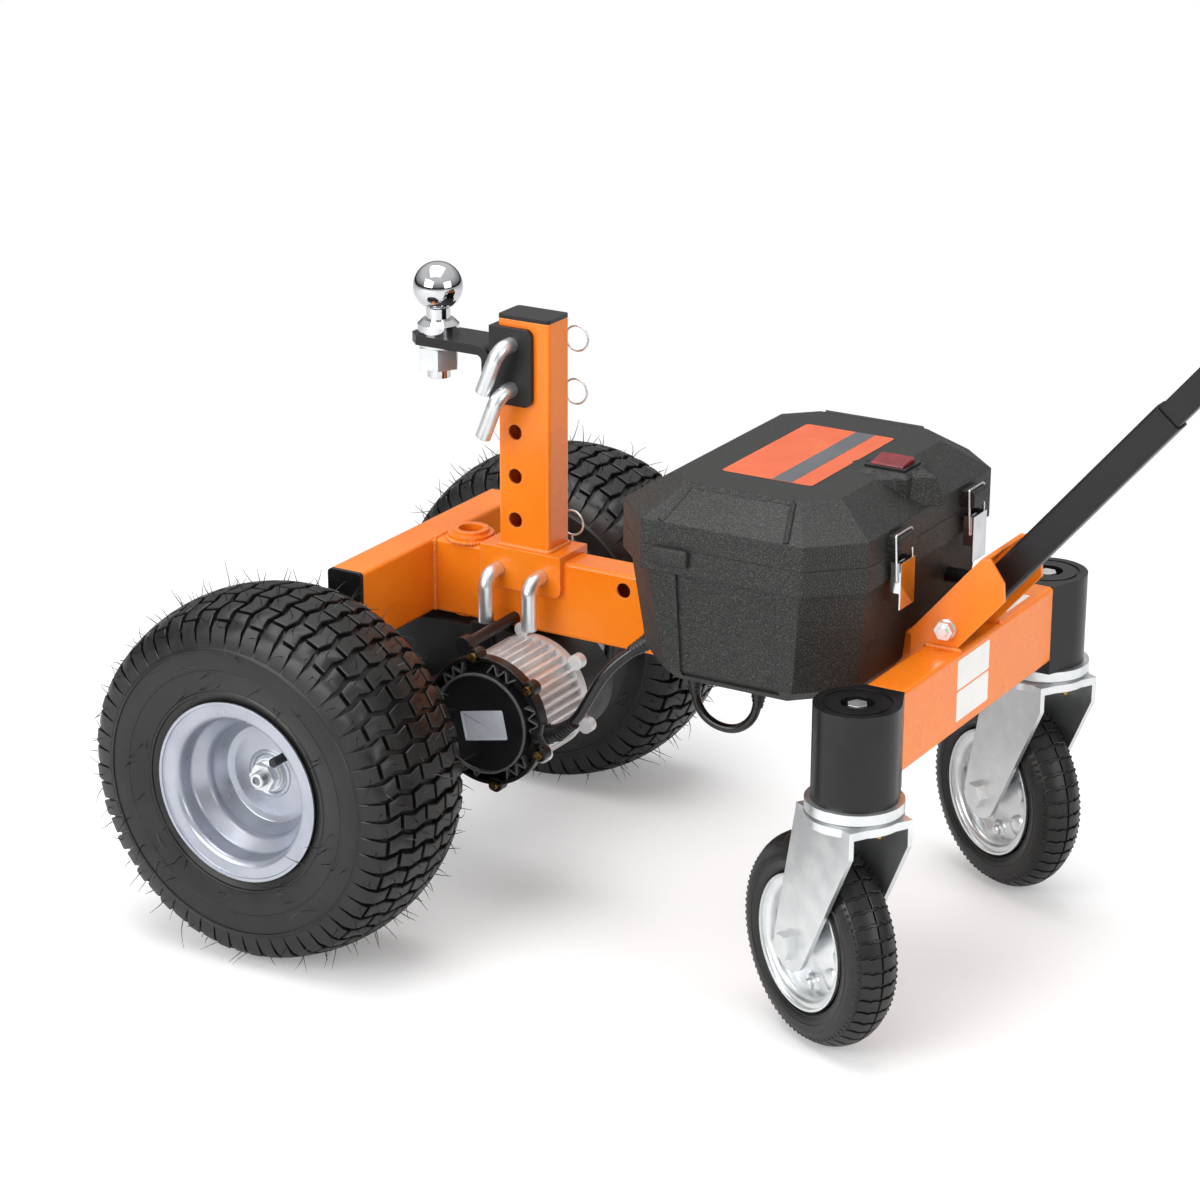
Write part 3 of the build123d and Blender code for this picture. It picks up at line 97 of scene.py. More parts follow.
def newMaterial(name):
    material = bpy.data.materials.new(name)
    material.use_nodes = True
    return material, material.node_tree.nodes["Principled BSDF"]


def addNode(tree, kind, values=None, links=None, **settings):
    node = tree.nodes.new(kind)
    for name, value in settings.items():
        setattr(node, name, value)
    for name, value in (values or {}).items():
        node.inputs[name].default_value = value
    for name, source in (links or {}).items():
        tree.links.new(source, node.inputs[name])
    return node


def perMetre(size):
    # how often a pattern of that many millimetres repeats in a metre
    return 1 / (size * mm)


# what a surface's own settings don't say
common = {
    "metallic": 0.0, "sockets": {}, "stops": (0.35, 0.65), "speckled": False, "patchDetail": 4.0,
    "patchRange": (0.3, 0.7), "grainDetail": 3.0, "stretch": (1, 1, 1), "relief": 0.01, "strength": 0.5,
    "edge": 0, "bevelSamples": 4, "edgeHighlight": None,
}
# how far edges are painted lighter, as their highlight
paintedEdgeLight = {"from": 0.995, "to": 0.90, "share": 0.55}


def paintedEdgeMask(tree, rounded):
    # 0 on flat stretches, more where the rounded normal leaves the face's own: how much painted highlight an
    # edge takes
    flat = addNode(tree, "ShaderNodeNewGeometry").outputs["Normal"]
    turn = addNode(tree, "ShaderNodeVectorMath", links={0: rounded, 1: flat}, operation="DOT_PRODUCT")
    highlightMask = addNode(
        tree, "ShaderNodeMapRange",
        {"From Min": paintedEdgeLight["from"], "From Max": paintedEdgeLight["to"], "To Max": paintedEdgeLight["share"]},
        {"Value": turn.outputs["Value"]}
    )
    return highlightMask.outputs["Result"]


def makeMaterial(name, spec):
    # close colours in patches, roughness that varies, and the surface's own grain; where an edge colour is
    # given, edges are painted lighter as their highlight
    spec = {**common, **spec}
    material, shader = newMaterial(name)
    tree = material.node_tree
    for socket, value in {"Metallic": spec["metallic"], **spec["sockets"]}.items():
        shader.inputs[socket].default_value = value
    place = addNode(tree, "ShaderNodeTexCoord").outputs["Object"]
    along = addNode(tree, "ShaderNodeMapping", {"Scale": spec["stretch"]}, {"Vector": place})
    patches = addNode(
        tree, "ShaderNodeTexNoise", {"Scale": perMetre(spec["patch"]), "Detail": spec["patchDetail"]},
        {"Vector": place}
    ).outputs["Fac"]
    grain = addNode(
        tree, "ShaderNodeTexNoise", {"Scale": perMetre(spec["grain"]), "Detail": spec["grainDetail"]},
        {"Vector": along.outputs["Vector"]}
    ).outputs["Fac"]
    # speckled surfaces take their colours from the fine grain; on the pebbled plastic the lightest specks are
    # painted glints
    ramp = addNode(tree, "ShaderNodeValToRGB", links={"Fac": grain if spec["speckled"] else patches})
    points = ramp.color_ramp.elements
    while len(points) < len(spec["stops"]):
        points.new(0.5)
    for point, stop, code in zip(points, spec["stops"], spec["colors"]):
        point.position = stop
        point.color = fromHex(code)
    color = ramp.outputs["Color"]
    (start, end), (low, high) = spec["patchRange"], spec["rough"]
    rough = addNode(
        tree, "ShaderNodeMapRange", {"From Min": start, "From Max": end, "To Min": low, "To Max": high},
        {"Value": patches}
    )
    tree.links.new(rough.outputs["Result"], shader.inputs["Roughness"])
    bump = addNode(
        tree, "ShaderNodeBump", {"Strength": spec["strength"], "Distance": spec["relief"] * mm},
        {"Height": grain}
    )
    if spec["edge"]:
        bevel = addNode(tree, "ShaderNodeBevel", {"Radius": spec["edge"] * mm}, samples=spec["bevelSamples"])
        tree.links.new(bevel.outputs["Normal"], bump.inputs["Normal"])
        # edges painted in a lighter colour, standing in for their highlight
        if spec["edgeHighlight"]:
            highlightMask = paintedEdgeMask(tree, bevel.outputs["Normal"])
            color = addNode(
                tree, "ShaderNodeMix", {7: fromHex(spec["edgeHighlight"])}, {0: highlightMask, 6: color}, data_type="RGBA"
            ).outputs[2]
    tree.links.new(color, shader.inputs["Base Color"])
    tree.links.new(bump.outputs["Normal"], shader.inputs["Normal"])
    return material


# Patch, grain, relief and edge are in millimetres. A pixel of the picture is over a millimetre wide, so the
# pebbles, crystals, flake, tool marks and brushed lines are drawn at about 1 mm, coarser than real ones.
surfaces = {
    # mild steel tube, sprayed and baked: a thick glossy skin with a slight orange peel, its edges painted a
    # paler orange as highlight
    "orangePowderCoatSprayed": {
        "colors": ("#F07A14", "#F5841B"), "patch": 90, "rough": (0.24, 0.34),
        "grain": 2.6, "relief": 0.035, "edge": 1.6, "edgeHighlight": "#FFB87C",
        "sockets": {"Specular IOR Level": 0.35, "Coat Weight": 0.2, "Coat Roughness": 0.08},
    },
    # the same spray in black, less gloss: soft wide lights on it, and its edges painted grey as highlight
    "blackPowderCoatSprayed": {
        "colors": ("#121213", "#181819"), "patch": 60, "rough": (0.32, 0.42),
        "grain": 1.8, "relief": 0.04, "edge": 1.2, "edgeHighlight": "#3A3A3B", "sockets": {"Specular IOR Level": 0.4},
    },
    # polypropylene moulded on a spark eroded mould: pebbled, with light grey specks painted on its grain as
    # the points of light the pebbles catch
    "blackPolypropyleneTextured": {
        "colors": ("#151615", "#242523", "#494A47"), "stops": (0.42, 0.54, 0.64), "patch": 70,
        "rough": (0.46, 0.56), "grain": 1.1, "relief": 0.4, "strength": 0.9, "edge": 1.8, "speckled": True,
        "sockets": {"Specular IOR Level": 0.4},
    },
    # polypropylene from a polished mould: smooth and half glossy
    "blackPolypropyleneSmooth": {
        "colors": ("#101011", "#181819"), "patch": 40, "rough": (0.26, 0.36),
        "grain": 1.4, "relief": 0.02, "edge": 0.6, "sockets": {"Specular IOR Level": 0.4},
    },
    # glass filled nylon, moulded: the glass greys its raised ribs
    # nylon moulded black like the motor cap, painted mid grey on its raised ring and ribs and paler on their
    # edges, as their highlight
    "blackNylonPaintedHighlight": {
        "colors": ("#4E4E50", "#5C5C5E"), "patch": 30, "rough": (0.22, 0.32),
        "grain": 1.2, "relief": 0.02, "edge": 0.5, "edgeHighlight": "#A5A5A8",
    },
    # steel, polished and chrome plated: a mirror with a hint of blue
    "chromePlatePolished": {
        "colors": ("#C9CACD", "#DADBDD"), "stops": (0.4, 0.6), "patch": 30, "rough": (0.05, 0.10),
        "grain": 6.0, "metallic": 1.0, "edge": 0.5,
    },
    # steel, zinc plated and passivated: bright, faintly blue, with a fine crystal bloom
    "zincPlatePassivated": {
        "colors": ("#DCE0E2", "#E5E8E9", "#EFF1F1"), "stops": (0.3, 0.52, 0.72), "patch": 22,
        "rough": (0.28, 0.38), "grain": 1.1, "relief": 0.05, "metallic": 0.9, "edge": 0.8,
    },
    # turned or hobbed steel with oil on it
    "steelMachined": {
        "colors": ("#7A7C7F", "#93959A"), "patch": 25, "rough": (0.25, 0.38),
        "grain": 0.9, "relief": 0.02, "metallic": 1.0, "edge": 0.4,
    },
    # sand cast iron, painted black: coarse and half matt
    "castIronPainted": {
        "colors": ("#131314", "#222223"), "patch": 22, "rough": (0.42, 0.60),
        "grain": 2.4, "relief": 0.25, "edge": 1.5,
    },
    # aluminium, pressure cast or extruded, bare: pale satin fins
    "aluminiumCast": {
        "colors": ("#DCDCDD", "#ECECEC"), "patch": 18, "rough": (0.30, 0.42),
        "grain": 1.2, "relief": 0.03, "metallic": 0.35, "stretch": (1, 0.08, 1),
    },
    # pressed steel wheel, silver lacquer with fine flake: soft, no mirror
    "silverLacquer": {
        "colors": ("#A6AAB5", "#B6BAC4"), "patch": 45, "rough": (0.26, 0.36),
        "grain": 1.0, "relief": 0.015, "metallic": 0.75, "edge": 0.8,
        "sockets": {"Coat Weight": 0.4, "Coat Roughness": 0.2},
    },
    # vulcanised rubber from a machined mould: charcoal with a dull bloom
    "tireRubberVulcanised": {
        "colors": ("#111110", "#1B1B1A"), "patch": 28, "rough": (0.31, 0.44),
        "grain": 1.3, "relief": 0.08, "strength": 0.6, "sockets": {"Specular IOR Level": 0.45},
    },
    # thermoplastic rubber, moulded soft
    "rubberSoft": {
        "colors": ("#101011", "#19191A"), "patch": 20, "rough": (0.30, 0.42), "grain": 1.1, "relief": 0.03,
    },
    # polycarbonate, tinted and clear enough to glow: the lit rocker
    "redPolycarbonate": {
        "colors": ("#6C1018", "#841A22"), "patch": 12, "rough": (0.18, 0.26), "grain": 1.0, "edge": 0.8,
    },
    # brass, turned: screws and the grease nipple
    "brassTurned": {
        "colors": ("#A5814A", "#C7A468"), "patch": 5, "rough": (0.22, 0.34),
        "grain": 0.8, "relief": 0.02, "metallic": 1.0, "edge": 0.3,
    },
    # aluminium foil, anodised and brushed along its length: the bare plate on the motor
    "aluminiumBrushed": {
        "colors": ("#C6CBD5", "#D6DAE2"), "patch": 20, "rough": (0.36, 0.46),
        "grain": 0.7, "metallic": 0.2, "stretch": (0.08, 1, 1),
    },
    # vinyl film, printed in one colour: the field of the lid's label
    "orangeVinylPrinted": {
        "colors": ("#D65E34", "#DC683C"), "patch": 40, "rough": (0.38, 0.46), "grain": 1.5,
    },
    # the same film in grey
    "greyVinylPrinted": {
        "colors": ("#55585C", "#5F6266"), "patch": 40, "rough": (0.38, 0.46), "grain": 1.5,
    },
    # white vinyl film with nothing on it
    "whiteVinylPlain": {
        "colors": ("#E9E8E4", "#F1F0ED"), "patch": 30, "rough": (0.36, 0.46), "grain": 1.2,
    },
    # soft vinyl over a copper lead: glossy, so long bright streaks run along it
    "cableVinylExtruded": {
        "colors": ("#0D0D0E", "#151516"), "patch": 30, "rough": (0.14, 0.22), "grain": 2.0, "relief": 0.02,
    },
}
finish = {name: makeMaterial(name, spec) for name, spec in surfaces.items()}

slotFinish = {
    "orange_powder_coat": "orangePowderCoatSprayed",
    "black_powder_coat": "blackPowderCoatSprayed",
    "black_plastic": "blackPolypropyleneSmooth",
    "chrome_plate": "chromePlatePolished",
    "zinc_plate": "zincPlatePassivated",
    "machined_steel": "steelMachined",
    "grey_gearbox": "castIronPainted",
    "cast_aluminium": "aluminiumCast",
    "silver_paint": "silverLacquer",
    "tire_rubber": "tireRubberVulcanised",
    "soft_rubber": "rubberSoft",
    "red_plastic": "redPolycarbonate",
}
nodeFinish = {
    "box_body": "blackPolypropyleneTextured", "box_lid": "blackPolypropyleneTextured",
    "motor_screws": "brassTurned", "gearbox_mounts": "blackPowderCoatSprayed",
}
for part in frame["record"]["subparts"]:
    name = nodeFinish.get(part["node"], slotFinish[part["material_slot"]])
    materials = nodes[part["node"]].data.materials
    materials.clear()
    materials.append(finish[name])
print("materials made:", len(finish))


# Helpers for new pieces
def meshFrom(name, bm):
    mesh = bpy.data.meshes.new(name)
    bm.to_mesh(mesh)
    bm.free()
    return mesh


def addPiece(name, bm, material, body, sharp=35):
    mesh = meshFrom(name, bm)
    mesh.materials.append(finish[material])
    mesh.shade_smooth()
    mesh.set_sharp_from_angle(angle=radians(sharp))
    obj = addObject(name, mesh)
    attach(obj, body)
    return obj


def turned(profile, centre, axis, steps, closed=True):
    # spins a profile of places along the axis and radii, in millimetres
    bm = bmesh.new()
    out = axis.orthogonal().normalized()
    verts = [bm.verts.new(centre + axis * (a * mm) + out * (r * mm)) for a, r in profile]
    pairs = list(zip(verts, verts[1:])) + ([(verts[-1], verts[0])] if closed else [])
    edges = [bm.edges.new(pair) for pair in pairs]
    bmesh.ops.spin(bm, geom=verts + edges, cent=centre, axis=axis, angle=2 * pi, steps=steps, use_merge=True)
    bmesh.ops.remove_doubles(bm, verts=bm.verts, dist=tiny)
    bmesh.ops.recalc_face_normals(bm, faces=bm.faces)
    return bm


def joinInto(bm, extra):
    mesh = meshFrom("part", extra)
    bm.from_mesh(mesh)
    bpy.data.meshes.remove(mesh)
    return bm


def only(kind, geom):
    return [g for g in geom if isinstance(g, kind)]


def everything(bm):
    return bm.verts[:] + bm.edges[:] + bm.faces[:]


def breakEdges(bm, geom, width, segments, affect="EDGES"):
    bmesh.ops.bevel(
        bm, geom=geom, offset=width, offset_type="OFFSET", segments=segments, profile=0.5, affect=affect,
        material=-1
    )


def rounded(points, bends, steps=5):
    # a line with its corners drawn as arcs of the given radii
    line = [Vector((*points[0], 0))]
    for before, corner, after, bend in zip(points, points[1:], points[2:], bends):
        spot = Vector((*corner, 0))
        back = (Vector((*before, 0)) - spot).normalized()
        ahead = (Vector((*after, 0)) - spot).normalized()
        half = back.angle(ahead) / 2
        centre = spot + (back + ahead).normalized() * bend / sin(half)
        first = spot + back * bend / tan(half) - centre
        last = spot + ahead * bend / tan(half) - centre
        line += [centre + first.slerp(last, k / steps).normalized() * bend for k in range(steps + 1)]
    return line + [Vector((*points[-1], 0))]


def sheetProfile(points, bends, thick):
    # the closed outline of a sheet of that thickness, bent along a line
    line = rounded(points, bends)
    left, right = [], []
    for i, spot in enumerate(line):
        way = (line[min(i + 1, len(line) - 1)] - line[max(i - 1, 0)]).normalized()
        off = Vector((-way.y, way.x, 0)) * thick / 2
        left.append(spot + off)
        right.append(spot - off)
    return [(p.x, p.y) for p in left + right[::-1]]


def addBar(bm, start, end, axis, thick, deep):
    # a straight rib between two places, that thick across and that deep along the axis
    way = (end - start).normalized()
    turn = Matrix((way, axis.cross(way), axis)).transposed().to_4x4()
    size = Matrix.Diagonal(((end - start).length, thick * mm, deep * mm, 1))
    bmesh.ops.create_cube(bm, size=1, matrix=Matrix.Translation((start + end) / 2) @ turn @ size)


def circleThrough(a, b, c):
    d = 2 * (a[0] * (b[1] - c[1]) + b[0] * (c[1] - a[1]) + c[0] * (a[1] - b[1]))
    sa, sb, sc = (p[0] ** 2 + p[1] ** 2 for p in (a, b, c))
    x = (sa * (b[1] - c[1]) + sb * (c[1] - a[1]) + sc * (a[1] - b[1])) / d
    y = (sa * (c[0] - b[0]) + sb * (a[0] - c[0]) + sc * (b[0] - a[0])) / d
    return (x, y), hypot(a[0] - x, a[1] - y)


# Tires: a carcass of two arcs, with tread blocks that follow the same arcs
def tireShape(spec):
    half, drop, radius = spec["shoulderHalf"], spec["drop"], spec["radius"]
    crown = (half ** 2 + drop ** 2) / (2 * drop)
    bead = (spec["beadHalf"], spec["beadRadius"])
    waist = (spec["halfWidth"], (spec["beadRadius"] + radius) / 2)
    shoulder = (half, radius - drop)
    sideCentre, sideRadius = circleThrough(bead, waist, shoulder)
    start = atan2(shoulder[1] - sideCentre[1], shoulder[0] - sideCentre[0])
    end = atan2(bead[1] - sideCentre[1], bead[0] - sideCentre[0])
    crownReach = crown * asin(half / crown)
    reach = crownReach + sideRadius * (start - end)
    return {
        "crown": crown, "centre": radius - crown, "crownReach": crownReach, "reach": reach,
        "sideCentre": sideCentre, "sideRadius": sideRadius, "start": start,
    }


def tirePoint(shape, w, depth):
    # w runs over the tire from the middle of the tread, depth goes in from its outside
    side = 1 if w >= 0 else -1
    reach = abs(w)
    if reach <= shape["crownReach"]:
        angle = pi / 2 - reach / shape["crown"]
        centre, radius = (0, shape["centre"]), shape["crown"]
    else:
        angle = shape["start"] - (reach - shape["crownReach"]) / shape["sideRadius"]
        centre, radius = shape["sideCentre"], shape["sideRadius"]
    return side * (centre[0] + (radius - depth) * cos(angle)), centre[1] + (radius - depth) * sin(angle)


def treadDepth(spec, w):
    full, fade = spec["fullTread"], spec["fadeTread"]
    share = min(max((fade - abs(w)) / (fade - full), 0.0), 1.0)
    return spec["lug"] * share


def onTire(spec, shape, w, s, depth):
    along, radius = tirePoint(shape, w, depth)
    angle = s / spec["radius"]
    out = spec["ahead"] * cos(angle) + spec["axis"].cross(spec["ahead"]) * sin(angle)
    return spec["centre"] + (spec["axis"] * along + out * radius) * mm


def carcass(spec, shape):
    stops = set(spec["sections"])
    for place, width, height in spec["rings"]:
        stops.update((place - width, place - width / 2, place + width / 2, place + width))
    half = []
    for w in sorted(s for s in stops if s < shape["reach"]) + [shape["reach"]]:
        lift = sum(height for place, width, height in spec["rings"] if abs(w - place) <= width / 2 + tiny)
        half.append(tirePoint(shape, w, treadDepth(spec, w) - lift))
    half.append((spec["beadHalf"], spec["seatRadius"]))
    half.append((spec["beadHalf"] - spec["wall"], spec["seatRadius"]))
    half += [tirePoint(shape, w, spec["wall"] + treadDepth(spec, w)) for w in spec["sections"][::-2]]
    mirrored = [(-along, radius) for along, radius in half[::-1] if along > tiny]
    return turned(half + mirrored, spec["centre"], spec["axis"], spec["steps"])


def zigzag(spec, w):
    # how far a row's wavy edge stands off at that place across the tread
    step = spec["wing"]
    place = min(abs(w), spec["lastWing"]) % (2 * step)
    return spec["bend"] * abs(place / step - 1)


def addBlock(bm, spec, start, end, band):
    # one tread block: a strip between two places across the tread, pulled out, its top edges broken
    gap = spec["cut"] / 2
    cuts = [w for w in spec["stops"] if start + spec["stopGap"] < w < end - spec["stopGap"]]
    low = start + (gap if abs(start) < spec["fadeTread"] else 0)
    high = end - (gap if abs(end) < spec["fadeTread"] else 0)
    places = [low, *cuts, high]
    count = len(places) - 1
    made = bmesh.ops.create_grid(bm, x_segments=count, y_segments=1, size=1)["verts"]
    faces = list({f for v in made for f in v.link_faces})
    pull = bmesh.ops.extrude_face_region(bm, geom=faces)["geom"]
    tops, topFaces = only(BMVert, pull), only(BMFace, pull)
    for v in made + tops:
        raised = v in tops
        w = places[round((v.co.x + 1) / 2 * count)]
        grow = max(abs(w) - spec["lastWing"], 0) / (spec["fadeTread"] - spec["lastWing"])
        half = spec["thick"] / 2 * (1 + spec["flare"] * grow)
        s = zigzag(spec, w) + (half if v.co.y > 0 else -half) + band
        v.co = (w, s, 0 if raised else -(treadDepth(spec, w) + spec["sunk"]))
    rim = [e for f in topFaces for e in f.edges if sum(g in topFaces for g in e.link_faces) == 1]
    breakEdges(bm, list(set(rim)), spec["edge"], 1)


def repeatRound(bm, geom, spec, count):
    # copies of that geometry all the way round the tire
    bmesh.ops.spin(
        bm, geom=geom, cent=spec["centre"], axis=spec["axis"], angle=2 * pi * (count - 1) / count,
        steps=count - 1, use_duplicate=True
    )


def addTread(spec, shape):
    bm = bmesh.new()
    pitch = 2 * pi * spec["radius"] / spec["bands"]
    for band, cuts in enumerate(spec["cutRows"]):
        places = [-spec["fadeTread"], *cuts, spec["fadeTread"]]
        for start, end in zip(places, places[1:]):
            addBlock(bm, spec, start, end, band * pitch)
    for v in bm.verts:
        v.co = onTire(spec, shape, v.co.x, v.co.y, -v.co.z)
    # laying the flat blocks on the tire mirrors them
    bmesh.ops.reverse_faces(bm, faces=bm.faces)
    repeatRound(bm, everything(bm), spec, spec["bands"] // len(spec["cutRows"]))
    return bm


# Vent hairs: thin tapered threads that the air holes of the mould leave
hairs = {
    "seed": 11, "inset": 8, "across": 3, "along": 4, "sideCount": 54, "sideFrom": 5, "sideStand": 0.35,
    "sunk": 0.4, "up": 10, "on": 5, "sway": 0.45, "lean": 0.6, "length": (9, 22), "curl": 0.22,
    "radius": 0.6, "tip": 0.35, "sides": 3, "joints": 2, "floorClear": 1.0,
}


def hairMesh():
    # one thread, a unit long and a unit thick, with joints to bend at
    bm = bmesh.new()
    bmesh.ops.create_cone(
        bm, segments=hairs["sides"], radius1=1, radius2=hairs["tip"], depth=1,
        matrix=Matrix.Translation((0, 0, 0.5))
    )
    long = [e for e in bm.edges if abs(e.verts[0].co.z - e.verts[1].co.z) > 0.5]
    bmesh.ops.subdivide_edges(bm, edges=long, cuts=hairs["joints"])
    return meshFrom("hair", bm)


def hairRoots(spec, shape, draw):
    # place across, place along and how upright: one hair per block and some on the walls
    roots = []
    pitch = 2 * pi * spec["radius"] / spec["bands"]
    last = spec["fadeTread"] - hairs["inset"]
    for band in range(spec["bands"]):
        places = [-last, *spec["cutRows"][band % len(spec["cutRows"])], last]
        for start, end in zip(places, places[1:]):
            w = (start + end) / 2 + draw.uniform(-hairs["across"], hairs["across"])
            s = band * pitch + zigzag(spec, w) + draw.uniform(-hairs["along"], hairs["along"])
            roots.append((w, s, 1.0))
    for side in (-1, 1):
        for k in range(hairs["sideCount"]):
            w = side * draw.uniform(spec["fadeTread"] + hairs["sideFrom"], shape["reach"] - hairs["inset"])
            roots.append((w, draw.uniform(0, 2 * pi * spec["radius"]), hairs["sideStand"]))
    return roots


def addHairs(spec, shape, seed):
    draw = random.Random(seed)
    roots = hairRoots(spec, shape, draw)
    bm = bmesh.new()
    thread = hairMesh()
    for w, s, stand in roots:
        root = onTire(spec, shape, w, s, hairs["sunk"])
        above = (onTire(spec, shape, w, s, -hairs["up"]) - root).normalized()
        ahead = (onTire(spec, shape, w, s + hairs["on"], hairs["sunk"]) - root).normalized()
        way = above * stand + ahead * draw.gauss(0, hairs["sway"])
        way = (way + spec["axis"] * draw.uniform(-hairs["lean"], hairs["lean"])).normalized()
        length = draw.uniform(*hairs["length"]) * mm
        curl = Vector([draw.gauss(0, 1) for k in range(3)]) * length * hairs["curl"]
        if min(root.z, (root + way * length + curl).z) < hairs["floorClear"] * mm:
            continue
        first = len(bm.verts)
        bm.from_mesh(thread)
        bm.verts.ensure_lookup_table()
        turn = way.to_track_quat("Z", "Y").to_matrix()
        for v in bm.verts[first:]:
            share = v.co.z
            thick = Vector((v.co.x, v.co.y, 0)) * hairs["radius"] * mm
            v.co = root + way * length * share + turn @ thick + curl * share * share
    bpy.data.meshes.remove(thread)
    return bm


driveTire = {
    "radius": 188.0, "halfWidth": 77.5, "shoulderHalf": 68.5, "drop": 14.0, "wall": 9.0,
    "beadHalf": 66.7, "beadRadius": 91.0, "seatRadius": 76.3,
    "lug": 6.5, "fullTread": 66.0, "fadeTread": 96.0,
    "sections": [0, 9, 18, 27, 36, 45, 54, 62, 67, 74, 80, 86, 92, 100, 108, 116, 124, 132, 140, 148],
    "rings": [(99.0, 1.6, 1.1), (119.0, 0.7, 0.5), (143.0, 2.2, 1.3)],
    "steps": 112, "bands": 56, "wing": 16.5, "lastWing": 66.0, "bend": 4.8, "thick": 15.6, "flare": 0.30,
    "cut": 4.4, "edge": 0.9, "sunk": 0.8,
    "stops": [-86, -76, -66, -58, -49.5, -33, -16.5, 0, 16.5, 33, 49.5, 58, 66, 76, 86],
    "cutRows": [(-49.5, -16.5, 16.5, 49.5), (-66, -33, 0, 33, 66)],
    "stopGap": 2.0, "sharp": 30, "axis": axisY, "ahead": axisX,
}
casterTire = {
    "radius": 105.0, "halfWidth": 26.0, "shoulderHalf": 19.0, "drop": 7.0, "wall": 9.0,
    "beadHalf": 18.7, "beadRadius": 66.0, "seatRadius": 58.3,
    "lug": 2.6, "fullTread": 19.0, "fadeTread": 22.5,
    "sections": [0, 4, 8, 12, 16, 19.5, 23, 27, 31, 35, 39, 43, 47, 51],
    "rings": [(41.0, 1.0, 0.6), (50.5, 1.4, 0.8)],
    "steps": 96, "bands": 44, "wing": 5.2, "lastWing": 20.0, "bend": 1.5, "thick": 12.0, "flare": 0.1,
    "cut": 1.6, "edge": 0.6, "sunk": 0.6,
    "stops": [-20.8, -15.6, -10.4, -5.2, 5.2, 10.4, 15.6, 20.8],
    "cutRows": [(0,)],
    "stopGap": 2.0, "sharp": 30,
    "ribs": 88, "ribStart": 24.5, "ribEnd": 35.0, "ribHeight": 1.0, "ribWidth": 4.2, "ribTaper": 0.55,
    "ribFade": 0.15, "ribSunk": 0.8,
}
sides = {"Near": -1, "Far": 1}
drive = {"y": 275.5, "z": 188}
caster = {"x": 605, "y": 212.75, "z": 105, "trail": 50, "heading": 29}


def casterSpec(side):
    turn = Matrix.Rotation(-radians(caster["heading"]), 3, "Z")
    wheel = turn @ Vector((-caster["trail"] * mm, 0, caster["z"] * mm))
    centre = at(caster["x"], side * caster["y"], 0) + wheel
    return {"centre": centre, "axis": turn @ axisY, "ahead": turn @ axisX}


def addRibs(bm, spec, shape):
    # fine ribs across the shoulder, standing on the carcass
    for side in (-1, 1):
        made = bmesh.ops.create_cube(bm, size=1)["verts"]
        for v in made:
            w = side * (spec["ribStart"] if v.co.x * side < 0 else spec["ribEnd"])
            s = v.co.y * spec["ribWidth"] * (spec["ribTaper"] if v.co.z > 0 else 1.0)
            lift = spec["ribHeight"] if abs(w) < spec["ribEnd"] else spec["ribFade"]
            v.co = onTire(spec, shape, w, s, -lift if v.co.z > 0 else spec["ribSunk"])
        edges = list({e for v in made for e in v.link_edges})
        faces = list({f for v in made for f in v.link_faces})
        bmesh.ops.recalc_face_normals(bm, faces=faces)
        repeatRound(bm, made + edges + faces, spec, spec["ribs"])


def addTire(name, body, node, spec):
    shape = tireShape(spec)
    bm = joinInto(carcass(spec, shape), addTread(spec, shape))
    if "ribs" in spec:
        addRibs(bm, spec, shape)
    tire = addPiece(name, bm, "tireRubberVulcanised", body, spec["sharp"])
    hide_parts(node)


for name, side in sides.items():
    spec = {**driveTire, "centre": at(0, side * drive["y"], drive["z"])}
    addTire("driveTire" + name, "drive_wheels", "drive_tire_" + name.lower(), spec)
    bm = addHairs(spec, tireShape(spec), hairs["seed"] + side)
    addPiece("driveTireHairs" + name, bm, "tireRubberVulcanised", "drive_wheels")
    spec = {**casterTire, **casterSpec(side)}
    addTire("casterTire" + name, "caster_wheel_" + name.lower(), "caster_tire_" + name.lower(), spec)
print("tires made")


# Drive rims: pressed sheet with rolled lips, a dished disc, a hub and a rubber valve
driveRim = {
    "sheet": 3.0, "steps": 96, "studSteps": 32, "spacerSteps": 48, "valveSteps": 24,
    "barrel": [
        (72.5, 91.6), (68.5, 91.6), (68.5, 74.5), (47.6, 74.5), (35, 60.5), (-21, 60.5), (-35, 74.5),
        (-68.5, 74.5), (-68.5, 91.6), (-72.5, 91.6),
    ],
    "barrelBends": [2.4, 7, 9, 9, 8, 8, 6, 2.4],
    "disc": [(29.5, 60.8), (26.5, 59.5), (14.2, 52.0), (12.2, 44), (13, 19)],
    "discBends": [1.5, 3.5, 12],
    "hub": [(-30.5, 12.6), (-30.5, 19.2), (-29.7, 20), (13.7, 20), (14.5, 19.2), (14.5, 12.6)],
    "collar": [(13.6, 19.5), (15.6, 20.2), (16.4, 21.6), (15.6, 24.2), (14.0, 25.4), (13.6, 24)],
    "valveAngle": 43, "valveRadius": 52,
    "valve": [
        (14, 0), (14, 7.5), (18, 7.2), (22, 5.2), (46, 4.6), (47, 4.0), (49, 4.0), (49.6, 4.7), (61.5, 4.7),
        (62.5, 3.9), (62.5, 0),
    ],
    "stud": [(33.5, 4.6), (38.2, 4.6), (38.2, 6.9), (37.2, 7.8), (33.5, 7.8)],
    "spacer": [(17.6, 8.2), (17.6, 14.6), (18.3, 15.3), (19.6, 15.3), (20.3, 14.6), (20.3, 8.2)],
}


